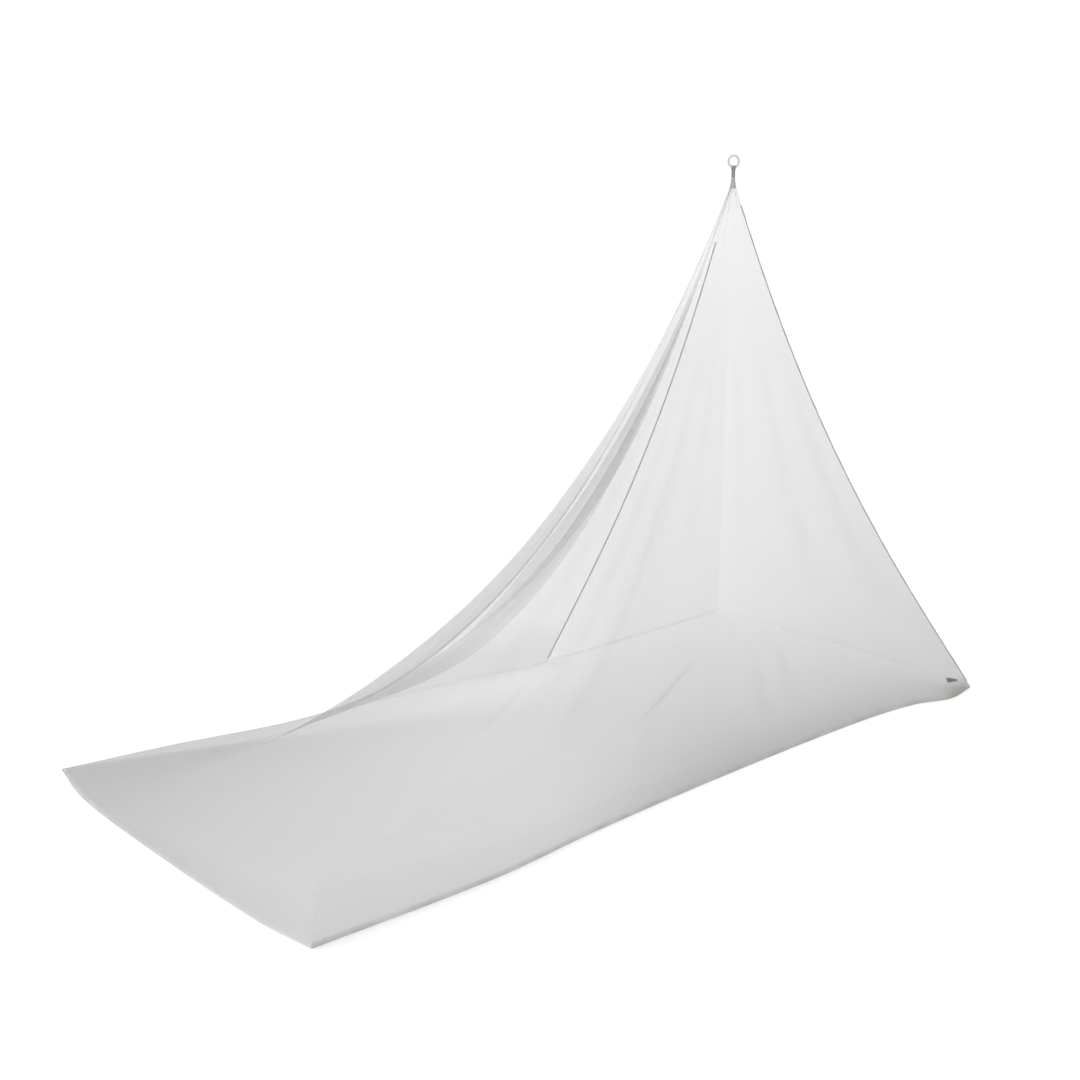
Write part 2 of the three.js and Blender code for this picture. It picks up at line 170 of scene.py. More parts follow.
# Creases too narrow for the solids: soft troughs and ridges, placed one by one.
CREASES: tuple[Fold, ...] = (
    Fold(Side.FAR_FOOT, 470, 20, 9, 0.25, 0.9),
    Fold(Side.FAR_FOOT, 540, 26, -8, 0.2, 0.92),
    Fold(Side.FAR_FOOT, 680, 24, 10, 0.3, 0.95),
    Fold(Side.FAR_FOOT, 870, 28, -9, 0.3, 0.9),
    Fold(Side.FAR_FOOT, 1100, 34, 9, 0.35, 0.92),
    Fold(Side.FAR_FOOT, 1180, 26, -7, 0.35, 0.85),
    Fold(Side.FOOT, 170, 40, 5, 0.35, 0.9),
    Fold(Side.FOOT, 470, 46, -5, 0.3, 0.9),
    Fold(Side.FOOT, 760, 40, 5, 0.32, 0.94),
    Fold(Side.FOOT, 1010, 36, -5, 0.3, 0.92),
    Fold(Side.NEAR, 120, 42, -5, 0.2, 0.9),
    Fold(Side.NEAR, 400, 60, -6, 0.2, 0.9),
    Fold(Side.NEAR, 880, 46, 4, 0.02, 0.32, 150),
    Fold(Side.NEAR, 22, 28, -9, 0.215, 0.335, 3460),
    Fold(Side.FOOT, 1031, 22, -9, 0.33, 0.46, 310),
    Fold(Side.NEAR, 1480, 34, -5, 0.04, 0.26, -190),
    Fold(Side.NEAR, 1620, 30, 5, 0.06, 0.3, -210),
    Fold(Side.NEAR, 2160, 50, 4, 0.1, 0.9),
    Fold(Side.NEAR, 2290, 36, -3, 0.02, 0.6),
    Fold(Side.HEAD, 180, 46, 4, 0.1, 0.9),
    Fold(Side.HEAD, 560, 60, 5, 0.1, 0.9),
    Fold(Side.HEAD, 940, 46, 4, 0.15, 0.9),
    Fold(Side.FAR_HEAD, 240, 60, 5, 0.1, 0.9),
    Fold(Side.FAR_HEAD, 520, 60, -5, 0.1, 0.9),
    Fold(Side.FAR_HEAD, 760, 44, 4, 0.1, 0.9),
)


@dataclass(frozen=True)
class Gathers:
    """Small pleats all round the net, which deepen where the neck draws the cloth together."""

    count: int = 27
    wide: float = 62.0
    deep: float = 3.4
    start: float = 0.42
    end: float = 1.25
    # Angles from one pleat to the next, in radians. Neither comes round again, so no two pleats are alike.
    uneven_turn: float = 2.4
    bold_turn: float = 1.7
    # How far a pleat's place, width, depth and start stray, as shares.
    uneven_place: float = 0.28
    uneven_wide: float = 0.25
    uneven_deep: float = 0.4
    uneven_start: float = 0.12

    def folds(self, starts: dict[Side, float], total: float) -> list[Fold]:
        """The pleats, unevenly spaced and deep, as folds of the first panel.

        Args:
            starts: Where each panel's hem starts, in mm round the whole hem.
            total: Length of the whole hem, in mm.

        Returns:
            One fold for each pleat.
        """
        step = total / self.count
        made: list[Fold] = []
        for k in range(self.count):
            uneven, bold = math.sin(self.uneven_turn * k), math.cos(self.bold_turn * k)
            at = (k + 0.5 + self.uneven_place * uneven) * step - starts[Side.FOOT]
            wide = self.wide * (1 - self.uneven_wide * uneven)
            deep = self.deep * (1 + self.uneven_deep * bold) * (-1) ** k
            made.append(Fold(Side.FOOT, at, wide, deep, self.start + self.uneven_start * uneven, self.end))
        return made


def clamp01(value: float) -> float:
    """The value, held between 0 and 1."""
    return min(1.0, max(0.0, value))


def smooth(value: float) -> float:
    """A soft step from 0 to 1 as the value goes from 0 to 1."""
    t = clamp01(value)
    return t * t * (3 - 2 * t)


@dataclass(frozen=True)
class ThreadPoint:
    """A point of one thread: its place, its share of the way to the neck and the run from the hem."""

    place: Vector
    share: float
    run: float


@dataclass
class Drape:
    """The hanging shape of the whole net, in millimetres.

    A thread runs from each place of the hem straight to the neck as seen from above. It stands up as a
    wall at the hem, leans in, and then sags below the straight line to the neck. Folds start and end
    softly, and seams hold the cloth still.
    """

    neck: Vector
    neck_radius: float = 7.5
    # The wall leans in this far, over this part of a thread's points, and fades out to the neck by a power.
    wall_lean: float = 34.0
    wall_part: float = 0.2
    wall_fade: int = 3
    # A slope that would dip under the floor is rounded off above it. The rounding grows from nothing at the
    # hem to its full size at one part in this many of the way to the neck.
    floor_soft: float = 9.0
    soft_reach: float = 12.0
    thread_steps: int = 160
    # Folds die out this near to a seam, and an edge's normals are felt this far beyond it.
    seam_hold: float = 110.0
    feel: float = 5.0
    # A fold starts and ends over these shares of its reach, and is felt for this many half widths.
    fold_starts_over: float = 0.35
    fold_ends_over: float = 0.4
    fold_felt_to: float = 3.0
    # Creases this deep in all count as fully creased.
    full_crease: float = 10.0

    def __post_init__(self) -> None:
        """Measures the hem once, side by side."""
        self.runs: dict[Side, list[float]] = {}
        self.starts: dict[Side, float] = {}
        self.total = 0.0
        for side in Side:
            hem = HEMS[side]
            run = [0.0]
            for first, second in zip(hem, hem[1:]):
                run.append(run[-1] + math.hypot(second.x - first.x, second.y - first.y))
            self.runs[side] = run
            self.starts[side] = self.total
            self.total += run[-1]
        self.folds = (*FOLDS, *CREASES, *Gathers().folds(self.starts, self.total))

    def length_of(self, side: Side) -> float:
        """Length of one side's hem, in mm."""
        return self.runs[side][-1]

    def section(self, side: Side, distance: float) -> HemSection:
        """A smooth curve through a side's hem sections, read at a distance from its first corner.

        Args:
            side: The panel.
            distance: Distance along its hem, in mm.

        Returns:
            The hem section there.
        """
        hem, run = HEMS[side], self.runs[side]
        i = 0
        while i < len(run) - 2 and distance > run[i + 1]:
            i += 1
        span = run[i + 1] - run[i]
        t = clamp01((distance - run[i]) / span)
        weights = (2 * t**3 - 3 * t**2 + 1, t**3 - 2 * t**2 + t, 3 * t**2 - 2 * t**3, t**3 - t**2)

        def read(name: str) -> float:
            """One column of the sections, read at the distance.

            Args:
                name: The column.

            Returns:
                Its value there.
            """
            values = [getattr(row, name) for row in hem]

            def slope(k: int) -> float:
                """How fast the column changes at one section."""
                before, after = max(k - 1, 0), min(k + 1, len(hem) - 1)
                return (values[after] - values[before]) / (run[after] - run[before])

            return (
                weights[0] * values[i]
                + weights[1] * span * slope(i)
                + weights[2] * values[i + 1]
                + weights[3] * span * slope(i + 1)
            )

        return HemSection(*(read(name) for name in ("x", "y", "wall", "low", "high")))

    def hem_at(self, position: float) -> HemSection:
        """The hem section at any distance round the whole hem.

        Args:
            position: The distance, in mm. It may run past either end.

        Returns:
            The hem section there.
        """
        around = position % self.total
        side = next(s for s in reversed(Side) if self.starts[s] <= around)
        return self.section(side, around - self.starts[side])

    def fold_depth(self, position: float, share: float) -> float:
        """How far folds and creases move the cloth outwards, in mm, along its outward normal."""
        return sum(fold.deep * self._felt(fold, position, share) for fold in self.folds)

    def crease_at(self, position: float, share: float) -> float:
        """How strongly the cloth is creased there, from 0 to 1, by its narrow creases alone."""
        depth = sum(abs(fold.deep) * self._felt(fold, position, share) for fold in CREASES)
        return min(1.0, depth / self.full_crease)

    def _felt(self, fold: Fold, position: float, share: float) -> float:
        """How much of a fold is felt at a place.

        Args:
            fold: The fold.
            position: Distance round the whole hem, in mm.
            share: Share of the way from the hem to the neck.

        Returns:
            From 0 to 1, and 0 at a seam, which holds the cloth.
        """
        reach = (share - fold.start) / (fold.end - fold.start)
        away = position - self.starts[fold.side] - fold.at - fold.slant * share
        if not 0 < reach < 1 or abs(away) > self.fold_felt_to * fold.wide:
            return 0.0
        seam_away = min(abs(position - seam) for seam in (*self.starts.values(), self.total))
        along = smooth(reach / self.fold_starts_over) * smooth((1 - reach) / self.fold_ends_over)
        return along * math.exp(-((away / fold.wide) ** 2)) * smooth(seam_away / self.seam_hold)

    def thread(self, position: float) -> list[ThreadPoint]:
        """One thread of the smooth net, from the hem to the neck.

        Args:
            position: Distance round the whole hem, in mm.

        Returns:
            Its points, with the run from the hem.
        """
        hem = self.hem_at(position)
        out = Vector((hem.x - self.neck.x, hem.y - self.neck.y))
        reach = out.length - self.neck_radius
        out.normalize()
        wall_steps = round(self.thread_steps * self.wall_part)
        points: list[ThreadPoint] = []
        run = 0.0
        for k in range(self.thread_steps + 1):
            turn = math.pi / 2 * clamp01(k / wall_steps)
            slope = clamp01((k - wall_steps) / (self.thread_steps - wall_steps))
            across = self.wall_lean * (1 - math.cos(turn)) + (reach - self.wall_lean) * slope
            share = across / reach
            straight = self.neck.z * share * (1 - (hem.low + hem.high * share) * (1 - share))
            lift = hem.wall * math.sin(turn) * (1 - share) ** self.wall_fade
            soft = self.floor_soft * smooth(share * self.soft_reach)
            height = lift + (straight + math.hypot(straight, soft)) / 2
            place = Vector((hem.x - out.x * across, hem.y - out.y * across, max(0.0, height)))
            if points:
                run += (place - points[-1].place).length
            points.append(ThreadPoint(place, share, run))
        return points

    def rows_at(self, position: float, shares_of_run: Sequence[float]) -> list[ThreadPoint]:
        """The points of one thread at given shares of its whole run.

        Args:
            position: Distance round the whole hem, in mm.
            shares_of_run: The shares, rising from 0 to 1 at most.

        Returns:
            One point for each share.
        """
        points = self.thread(position)
        total = points[-1].run
        rows: list[ThreadPoint] = []
        k = 0
        for share_of_run in shares_of_run:
            run = share_of_run * total
            while k < len(points) - 2 and points[k + 1].run < run:
                k += 1
            first, second = points[k], points[k + 1]
            t = clamp01((run - first.run) / (second.run - first.run))
            place = first.place.lerp(second.place, t)
            rows.append(ThreadPoint(place, first.share + (second.share - first.share) * t, run))
        return rows


@dataclass
class ClothGrid:
    """A grid of cloth points over a stretch of hem, column by column, with outward normals."""

    drape: Drape
    positions: list[float]
    rows: list[float]

    def __post_init__(self) -> None:
        """Lays out the smooth cloth, and moves it out and in by its folds."""
        threads = [self.drape.rows_at(p, self.rows) for p in self.positions]
        flat = [[point.place for point in thread] for thread in threads]
        flat_normals = self._normals(flat)
        self.places: list[list[Vector]] = []
        for i, thread in enumerate(threads):
            column = []
            for j, point in enumerate(thread):
                depth = self.drape.fold_depth(self.positions[i], point.share)
                moved = point.place + flat_normals[i][j] * depth
                moved.z = max(0.0, moved.z)
                column.append(moved)
            self.places.append(column)
        self.normals = self._normals(self.places)
        self.runs = [[point.run for point in thread] for thread in threads]
        self.shares = [[point.share for point in thread] for thread in threads]

    def area(self, first: int, last: int) -> float:
        """Area of the cloth between two of its columns.

        Args:
            first: The first column.
            last: The last column.

        Returns:
            The area, in square mm.
        """
        total = 0.0
        for left, right in zip(self.places[first:last], self.places[first + 1 : last + 1]):
            for j in range(len(left) - 1):
                lower = (right[j] - left[j]).cross(left[j + 1] - left[j]).length
                upper = (right[j + 1] - left[j + 1]).cross(right[j + 1] - right[j]).length
                total += (lower + upper) / 2
        return total

    @staticmethod
    def _normals(grid: list[list[Vector]]) -> list[list[Vector]]:
        """Outward normals of a grid of points, felt from each point's neighbours.

        Args:
            grid: The points, column by column, with the columns anticlockwise round the net.

        Returns:
            A normal for each point, level at the neck.
        """
        normals: list[list[Vector]] = []
        last_column, last_row = len(grid) - 1, len(grid[0]) - 1
        for i in range(len(grid)):
            before, after = grid[max(i - 1, 0)], grid[min(i + 1, last_column)]
            column = []
            for j in range(last_row + 1):
                along = (after[j] - grid[i][j]).normalized() + (grid[i][j] - before[j]).normalized()
                upward = grid[i][min(j + 1, last_row)] - grid[i][max(j - 1, 0)]
                normal = along.cross(upward)
                if j == last_row:
                    normal.z = 0.0
                column.append(normal.normalized())
            normals.append(column)
        return normals


# --------------------------------------------------------------------------- nodes and finishes

SOFT_STEP = {"interpolation_type": "SMOOTHSTEP"}
COLOUR_MIX = {"data_type": "RGBA"}
# A colour Mix node's inputs and output go by number, because it has others of the same names.
FACTOR, FIRST, SECOND, MIXED = 0, 6, 7, 2
# A Wave Texture turns through this many radians over one unit of its scaled coordinate.
WAVE_TURN = 20.0


def linear(hex_colour: str) -> tuple[float, float, float, float]:
    """An sRGB hex colour made linear.

    Args:
        hex_colour: The colour, such as "#aabbcc".

    Returns:
        Its linear red, green, blue and alpha.
    """
    parts = [int(hex_colour[i : i + 2], 16) / 255 for i in (1, 3, 5)]
    values = [p / 12.92 if p <= 0.04045 else ((p + 0.055) / 1.055) ** 2.4 for p in parts]
    return values[0], values[1], values[2], 1.0


def add_node(
    tree: bpy.types.NodeTree,
    kind: str,
    inputs: dict[str | int, Any] | Sequence[Any] = (),
    **settings: Any,
) -> bpy.types.Node:
    """Adds one shader node with its settings, and fills or links its inputs.

    Args:
        tree: The material's or world's node tree.
        kind: The node's type name, without "ShaderNode" before it.
        inputs: By name or number, or in order: a value, an output to link, or a node whose first output
            is linked.
        **settings: Properties of the node.

    Returns:
        The node.
    """
    node = tree.nodes.new("ShaderNode" + kind)
    for name, value in settings.items():
        setattr(node, name, value)
    filled = inputs if isinstance(inputs, dict) else dict(enumerate(inputs))
    for key, value in filled.items():
        source = value.outputs[0] if isinstance(value, bpy.types.Node) else value
        if isinstance(source, bpy.types.NodeSocket):
            tree.links.new(source, node.inputs[key])
        else:
            node.inputs[key].default_value = source
    return node


def band_scale(period_m: float) -> float:
    """The Wave Texture scale that repeats its bands at a real distance, in metres."""
    return 2 * math.pi / WAVE_TURN / period_m


def new_material(name: str) -> tuple[bpy.types.Material, bpy.types.NodeTree]:
    """Makes an empty node material.

    Args:
        name: Its name.

    Returns:
        The material and its tree.
    """
    material = bpy.data.materials.new(name)
    material.use_nodes = True
    material.node_tree.nodes.clear()
    return material, material.node_tree


@dataclass(frozen=True)
class NettingFinish:
    """Knitted polyester netting, matt and sheer: a grey veil with a denser hem and its row of stitches.

    The light that the cloth stops is its cover. A ray meets both faces of the cloth, so each face stops
    less than the whole. Cover changes with height, from end to end and from near to far, near the floor,
    near the neck and in creases: painted shade and light on one even net. The hem's cover is a little
    uneven where it is puckered, as the cloth's own. The real mesh has a pitch of 1.2 mm, which is too fine
    to show, so its diamonds are drawn six times as large and kept faint. The hem's stitches are drawn three
    times as long.
    """

    name: str
    # The cover at the floor, and what is left of it a metre up.
    # Its change with height is painted shade and light.
    cover: float
    left_a_metre_up: float
    # The hem's colour: painted shade where dark on the near side, painted light where pale at the foot.
    hem: str
    hem_cover: float
    thread: str = "#a9a6a8"
    stitch: str = "#7c7a7b"
    roughness: float = 0.85
    # Painted shade, as cover added in full creases and near the floor, and painted light near the neck.
    crease_shade_cover: float = 0.05
    low_shade_cover: float = 0.0
    low_shade_high_m: tuple[float, float] = (0.05, 0.2)
    neck_light_cover: float = 0.0
    neck_light_high_m: tuple[float, float] = (1.0, 1.5)
    # Shares of the cover at the foot end and the head end, and what the share gains from near to far.
    # These shares paint shade and light onto the veil, darker or clearer from end to end and across.
    foot_share: float = 0.93
    head_share: float = 1.2
    foot_to_head_m: tuple[float, float] = (-0.45, 0.25)
    far_share_per_m: float = 0.12
    # The hem fades out between these distances up the cloth. An even hem leaves those shares out.
    hem_soft_m: tuple[float, float] = (0.003, 0.017)
    hem_even: bool = False
    # Puckers of this size change the hem's cover by this share, over the middle stretch of their noise.
    pucker_m: float = 0.08
    pucker_share: float = 0.1
    pucker_noise: tuple[float, float] = (0.35, 0.65)
    stitch_row_m: tuple[float, float] = (0.0085, 0.012)
    stitch_pitch_m: float = 0.0035
    stitch_drawn_times: float = 3.0
    mesh_m: float = 0.0012
    mesh_drawn_times: float = 6.0
    mesh_slant_deg: float = 32.0
    mesh_share: tuple[float, float] = (0.909, 1.049)

    def build(self) -> bpy.types.Material:
        """Makes the material.

        Returns:
            The material, with its pattern on the panel's own cloth map.
        """
        material, tree = new_material(self.name)
        cloth = add_node(tree, "UVMap", uv_map=UV_NAME)
        run = add_node(tree, "SeparateXYZ", [cloth]).outputs["Y"]
        diamonds = self._diamonds(tree, cloth)
        hem = add_node(tree, "MapRange", [run, *self.hem_soft_m, 1.0, 0.0], **SOFT_STEP)
        # The hem's colour, painted shade on the near side and painted light at the foot.
        dyes = {FACTOR: hem, FIRST: linear(self.thread), SECOND: linear(self.hem)}
        dyed = add_node(tree, "Mix", dyes, **COLOUR_MIX).outputs[MIXED]
        sewing = {FACTOR: self._stitches(tree, cloth, run), FIRST: dyed, SECOND: linear(self.stitch)}
        shader = add_node(
            tree,
            "BsdfPrincipled",
            {
                "Base Color": add_node(tree, "Mix", sewing, **COLOUR_MIX).outputs[MIXED],
                "Roughness": self.roughness,
                "Specular IOR Level": 0.25,
                "Sheen Weight": 0.1,
                "Alpha": self._alpha(tree, cloth, hem, diamonds),
                "Normal": add_node(tree, "Bump", {"Strength": 0.1, "Distance": 0.0002, "Height": diamonds}),
            },
        )
        add_node(tree, "OutputMaterial", {"Surface": shader})
        return material

    def _alpha(
        self, tree: bpy.types.NodeTree, cloth: bpy.types.Node, hem: bpy.types.Node, diamonds: bpy.types.Node
    ) -> bpy.types.Node:
        """What each face of the cloth stops, so that both together stop its cover.

        Args:
            tree: The material's node tree.
            cloth: The cloth map.
            hem: 1 on the hem and 0 above it.
            diamonds: The threads of the mesh.

        Returns:
            The node of the alpha.
        """
        place = add_node(tree, "TexCoord").outputs["Object"]
        where = add_node(tree, "SeparateXYZ", [place]).outputs
        # Painted shade and light, as shares of the cover from end to end and from near to far.
        shares = (self.foot_share, self.head_share)
        along = add_node(tree, "MapRange", [where["X"], *self.foot_to_head_m, *shares], **SOFT_STEP)
        across = [where["Y"], self.far_share_per_m, along]
        uneven = add_node(tree, "Math", across, operation="MULTIPLY_ADD")
        cover = add_node(tree, "Math", [self._cover(tree, where["Z"]), uneven], operation="MULTIPLY")
        share = add_node(tree, "MapRange", [diamonds, 0.0, 1.0, *self.mesh_share])
        meshed = add_node(tree, "Math", [cover, share], operation="MULTIPLY")
        hem_shares = [self._puckered(tree, cloth), 1.0 if self.hem_even else uneven]
        hem_cover = add_node(tree, "Math", hem_shares, operation="MULTIPLY")
        whole = add_node(tree, "Mix", {"Factor": hem, "A": meshed, "B": hem_cover}, data_type="FLOAT")
        passed = add_node(tree, "Math", [1.0, whole], operation="SUBTRACT")
        passed_by_face = add_node(tree, "Math", [passed], operation="SQRT")
        return add_node(tree, "Math", [1.0, passed_by_face], operation="SUBTRACT")

    def _cover(self, tree: bpy.types.NodeTree, height: bpy.types.NodeSocket) -> bpy.types.Node:
        """The cover of the cloth above its hem: painted shade and light by height, near the floor, near the
        neck and in creases.

        Args:
            tree: The material's node tree.
            height: Height over the floor, in metres.

        Returns:
            The node of the cover.
        """
        left = add_node(tree, "Math", [self.left_a_metre_up, height], operation="POWER")
        # Painted light that clears the veil towards the neck, and painted shade near the floor.
        neck_light_range = [height, *self.neck_light_high_m, 0.0, self.neck_light_cover]
        gathered = add_node(tree, "MapRange", neck_light_range, **SOFT_STEP)
        low_shade_range = [height, *self.low_shade_high_m, self.low_shade_cover, 0.0]
        low_shade = add_node(tree, "MapRange", low_shade_range, **SOFT_STEP)
        painted_shade_and_light = add_node(tree, "Math", [low_shade, gathered], operation="ADD")
        # Painted shade in the creases, as extra cover.
        crease = add_node(tree, "Attribute", attribute_name=CREASE_NAME).outputs["Fac"]
        creased = add_node(tree, "Math", [crease, self.crease_shade_cover, painted_shade_and_light], operation="MULTIPLY_ADD")
        return add_node(tree, "Math", [left, self.cover, creased], operation="MULTIPLY_ADD")

    def _puckered(self, tree: bpy.types.NodeTree, cloth: bpy.types.Node) -> bpy.types.Node:
        """The cover of the hem, a little uneven where its stitches draw it in.

        Args:
            tree: The material's node tree.
            cloth: The cloth map.

        Returns:
            The node of the cover.
        """
        noise = {"Vector": cloth, "Scale": 1 / self.pucker_m, "Detail": 1.0}
        puckers = add_node(tree, "TexNoise", noise).outputs["Fac"]
        least, most = (self.hem_cover * (1 + sign * self.pucker_share) for sign in (-1, 1))
        return add_node(tree, "MapRange", [puckers, *self.pucker_noise, least, most], **SOFT_STEP)

    def _diamonds(self, tree: bpy.types.NodeTree, cloth: bpy.types.Node) -> bpy.types.Node:
        """The threads of the mesh: two sets of slanting bands that cross.

        Args:
            tree: The material's node tree.
            cloth: The cloth map.

        Returns:
            The node of the threads, from 0 between them to 1 on them.
        """
        sets = []
        for slant in (self.mesh_slant_deg, -self.mesh_slant_deg):
            turned = {"Vector": cloth, "Rotation": (0.0, 0.0, math.radians(slant))}
            bands = {
                "Vector": add_node(tree, "Mapping", turned),
                "Scale": band_scale(self.mesh_m * self.mesh_drawn_times),
            }
            sets.append(add_node(tree, "TexWave", bands, bands_direction="X").outputs["Fac"])
        return add_node(tree, "Math", sets, operation="MAXIMUM")

    def _stitches(
        self, tree: bpy.types.NodeTree, cloth: bpy.types.Node, run: bpy.types.NodeSocket
    ) -> bpy.types.Node:
        """A row of stitches along the top of the hem.

        Args:
            tree: The material's node tree.
            cloth: The cloth map.
            run: Distance up the cloth from its hem, in metres.

        Returns:
            The node of the stitches, from 0 beside them to 1 on them.
        """
        low, high = self.stitch_row_m
        # The row fades in over its first third and out over its last.
        edge = (high - low) / 3
        above = add_node(tree, "MapRange", [run, low, low + edge], **SOFT_STEP)
        below = add_node(tree, "MapRange", [run, high - edge, high, 1.0, 0.0], **SOFT_STEP)
        row = add_node(tree, "Math", [above, below], operation="MULTIPLY")
        bands = {"Vector": cloth, "Scale": band_scale(self.stitch_pitch_m * self.stitch_drawn_times)}
        dashes = add_node(tree, "TexWave", bands, bands_direction="X").outputs["Fac"]
        return add_node(tree, "Math", [row, dashes], operation="MULTIPLY")


@dataclass(frozen=True)
class WovenFinish:
    """Woven polyester tape, webbing or doubled cloth: matt, with close ribs that catch a little light.

    Ribs that would be too fine to show are drawn two or three times as wide.
    """

    name: str
    colour: str
    rib_m: float
    drawn_times: float = 1.0
    cover: float = 1.0
    contrast: float = 0.25
    roughness: float = 0.85
    fade_m: tuple[float, float] | None = None
    high_m: float = 0.056

    def build(self) -> bpy.types.Material:
        """Makes the material.

        Returns:
            The material, with its ribs on the piece's own cloth map.
        """
        material, tree = new_material(self.name)
        cloth = add_node(tree, "UVMap", uv_map=UV_NAME)
        weave = {
            "Vector": cloth,
            "Scale": band_scale(self.rib_m * self.drawn_times),
            "Distortion": 0.6,
            "Detail": 1.0,
        }
        ribs = add_node(tree, "TexWave", weave, bands_direction="Y").outputs["Fac"]
        on_rib = linear(self.colour)
        # The colour between the ribs, darker than on them, is painted shade in the weave's grooves.
        between = (*(part * (1 - self.contrast) for part in on_rib[:3]), 1.0)
        woven = {FACTOR: ribs, FIRST: between, SECOND: on_rib}
        shader = add_node(
            tree,
            "BsdfPrincipled",
            {
                "Base Color": add_node(tree, "Mix", woven, **COLOUR_MIX).outputs[MIXED],
                "Roughness": self.roughness,
                "Specular IOR Level": 0.3,
                "Sheen Weight": 0.15,
                "Alpha": self._faded(tree, cloth) if self.fade_m else self.cover,
                "Normal": add_node(tree, "Bump", {"Strength": 0.5, "Distance": 0.0003, "Height": ribs}),
            },
        )
        add_node(tree, "OutputMaterial", {"Surface": shader})
        return material

    def _faded(self, tree: bpy.types.NodeTree, cloth: bpy.types.Node) -> bpy.types.Node:
        """The cover, thinned towards the cloth's first side edge and its top.

        Args:
            tree: The material's node tree.
            cloth: The cloth map.

        Returns:
            The node of the cover.
        """
        side_m, top_m = self.fade_m
        run = add_node(tree, "SeparateXYZ", [cloth]).outputs
        side = add_node(tree, "MapRange", [run["X"], 0.0, side_m], **SOFT_STEP)
        over_top = [run["Y"], self.high_m - top_m, self.high_m, self.cover, 0.0]
        top = add_node(tree, "MapRange", over_top, **SOFT_STEP)
        return add_node(tree, "Math", [side, top], operation="MULTIPLY")


@dataclass(frozen=True)
class MouldedFinish:
    """Injection moulded acetal: off-white, with a soft satin highlight and a faint even grain.

    The grain of a moulded face, 0.2 mm, is too fine to show, so it is drawn six times as large.
    """

    name: str
    colour: str = "#cecdcc"
    roughness: float = 0.5
    grain_m: float = 0.0002
    drawn_times: float = 6.0
    grain_shade: float = 0.94

    def build(self) -> bpy.types.Material:
        """Makes the material.

        Returns:
            The material, with its grain on object coordinates.
        """
        material, tree = new_material(self.name)
        place = add_node(tree, "TexCoord").outputs["Object"]
        noise = {"Vector": place, "Scale": 1 / (self.grain_m * self.drawn_times), "Detail": 2.0}
        grain = add_node(tree, "TexNoise", noise).outputs["Fac"]
        shade = add_node(tree, "MapRange", [grain, 0.0, 1.0, self.grain_shade, 1.0])
        tinted = {FACTOR: 1.0, FIRST: linear(self.colour), SECOND: shade}
        colour = add_node(tree, "Mix", tinted, blend_type="MULTIPLY", **COLOUR_MIX)
        shader = add_node(
            tree,
            "BsdfPrincipled",
            {
                "Base Color": colour.outputs[MIXED],
                "Roughness": self.roughness,
                "IOR": 1.48,
                "Normal": add_node(tree, "Bump", {"Strength": 0.05, "Distance": 0.0001, "Height": grain}),
            },
        )
        add_node(tree, "OutputMaterial", {"Surface": shader})
        return material


# The one netting, with painted shade and light in each panel's cover: a grey veil that clears upwards at
# the foot end and the near side, and a much fainter one, painted light, at the head end and the far side,
# which are lit through from behind.
NETTINGS: dict[Side, NettingFinish] = {
    Side.FOOT: NettingFinish(
        "sheer netting, foot",
        cover=0.475,
        left_a_metre_up=0.33,
        # A pale hem: painted light.
        hem="#c9c7c8",
        hem_cover=0.5,
        crease_shade_cover=0.07,
        neck_light_cover=-0.04,
        far_share_per_m=0.26,
    ),
    Side.NEAR: NettingFinish(
        "sheer netting, near side",
        cover=0.55,
        left_a_metre_up=0.26,
        # A dark hem: painted shade.
        hem="#898788",
        hem_cover=0.52,
        hem_even=True,
        # Threads a shade darker than the other panels': painted shade.
        thread="#a5a2a4",
        neck_light_cover=-0.07,
        foot_share=0.74,
        head_share=1.1,
        foot_to_head_m=(-0.6, 0.15),
    ),
    Side.HEAD: NettingFinish(
        "sheer netting, head end",
        cover=0.11,
        left_a_metre_up=1.5,
        hem="#a9a6a8",
        hem_cover=0.12,
        far_share_per_m=-1.0,
    ),
    Side.FAR_HEAD: NettingFinish(
        "sheer netting, far side",
        cover=0.14,
        left_a_metre_up=1.3,
        hem="#a5a3a4",
        hem_cover=0.25,
        neck_light_cover=-0.02,
        far_share_per_m=-0.5,
    ),
    Side.FAR_FOOT: NettingFinish(
        "sheer netting, far slope",
        cover=0.1,
        left_a_metre_up=1.8,
        hem="#a5a3a4",
        hem_cover=0.28,
        # Painted shade near the floor, and painted light towards the neck.
        low_shade_cover=0.13,
        neck_light_cover=-0.15,
        foot_share=1.6,
        head_share=1.1,
        foot_to_head_m=(-1.0, -0.05),
    ),
}


# --------------------------------------------------------------------------- making pieces


def into_object(bm: bmesh.types.BMesh, name: str, material: bpy.types.Material) -> bpy.types.Object:
    """Turns a finished bmesh into a shown piece with a material.

    Args:
        bm: The mesh, in metres, in the frame.
        name: The piece's name.
        material: Its one material.

    Returns:
        The piece, smooth shaded, at the origin.
    """
    mesh = bpy.data.meshes.new(name)
    bm.to_mesh(mesh)
    bm.free()
    mesh.materials.append(material)
    mesh.polygons.foreach_set("use_smooth", [True] * len(mesh.polygons))
    piece = bpy.data.objects.new(name, mesh)
    bpy.context.scene.collection.objects.link(piece)
    return piece


def install(piece: bpy.types.Object, node: str) -> bpy.types.Object:
    """Rides a piece on the frame, in place of one of its solids.

    Args:
        piece: The piece.
        node: The solid that it stands for.

    Returns:
        The same piece.
    """
    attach(piece, BODY)
    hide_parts(node)
    LOG.info("%s: %d faces, stands for %s", piece.name, len(piece.data.polygons), node)
    return piece


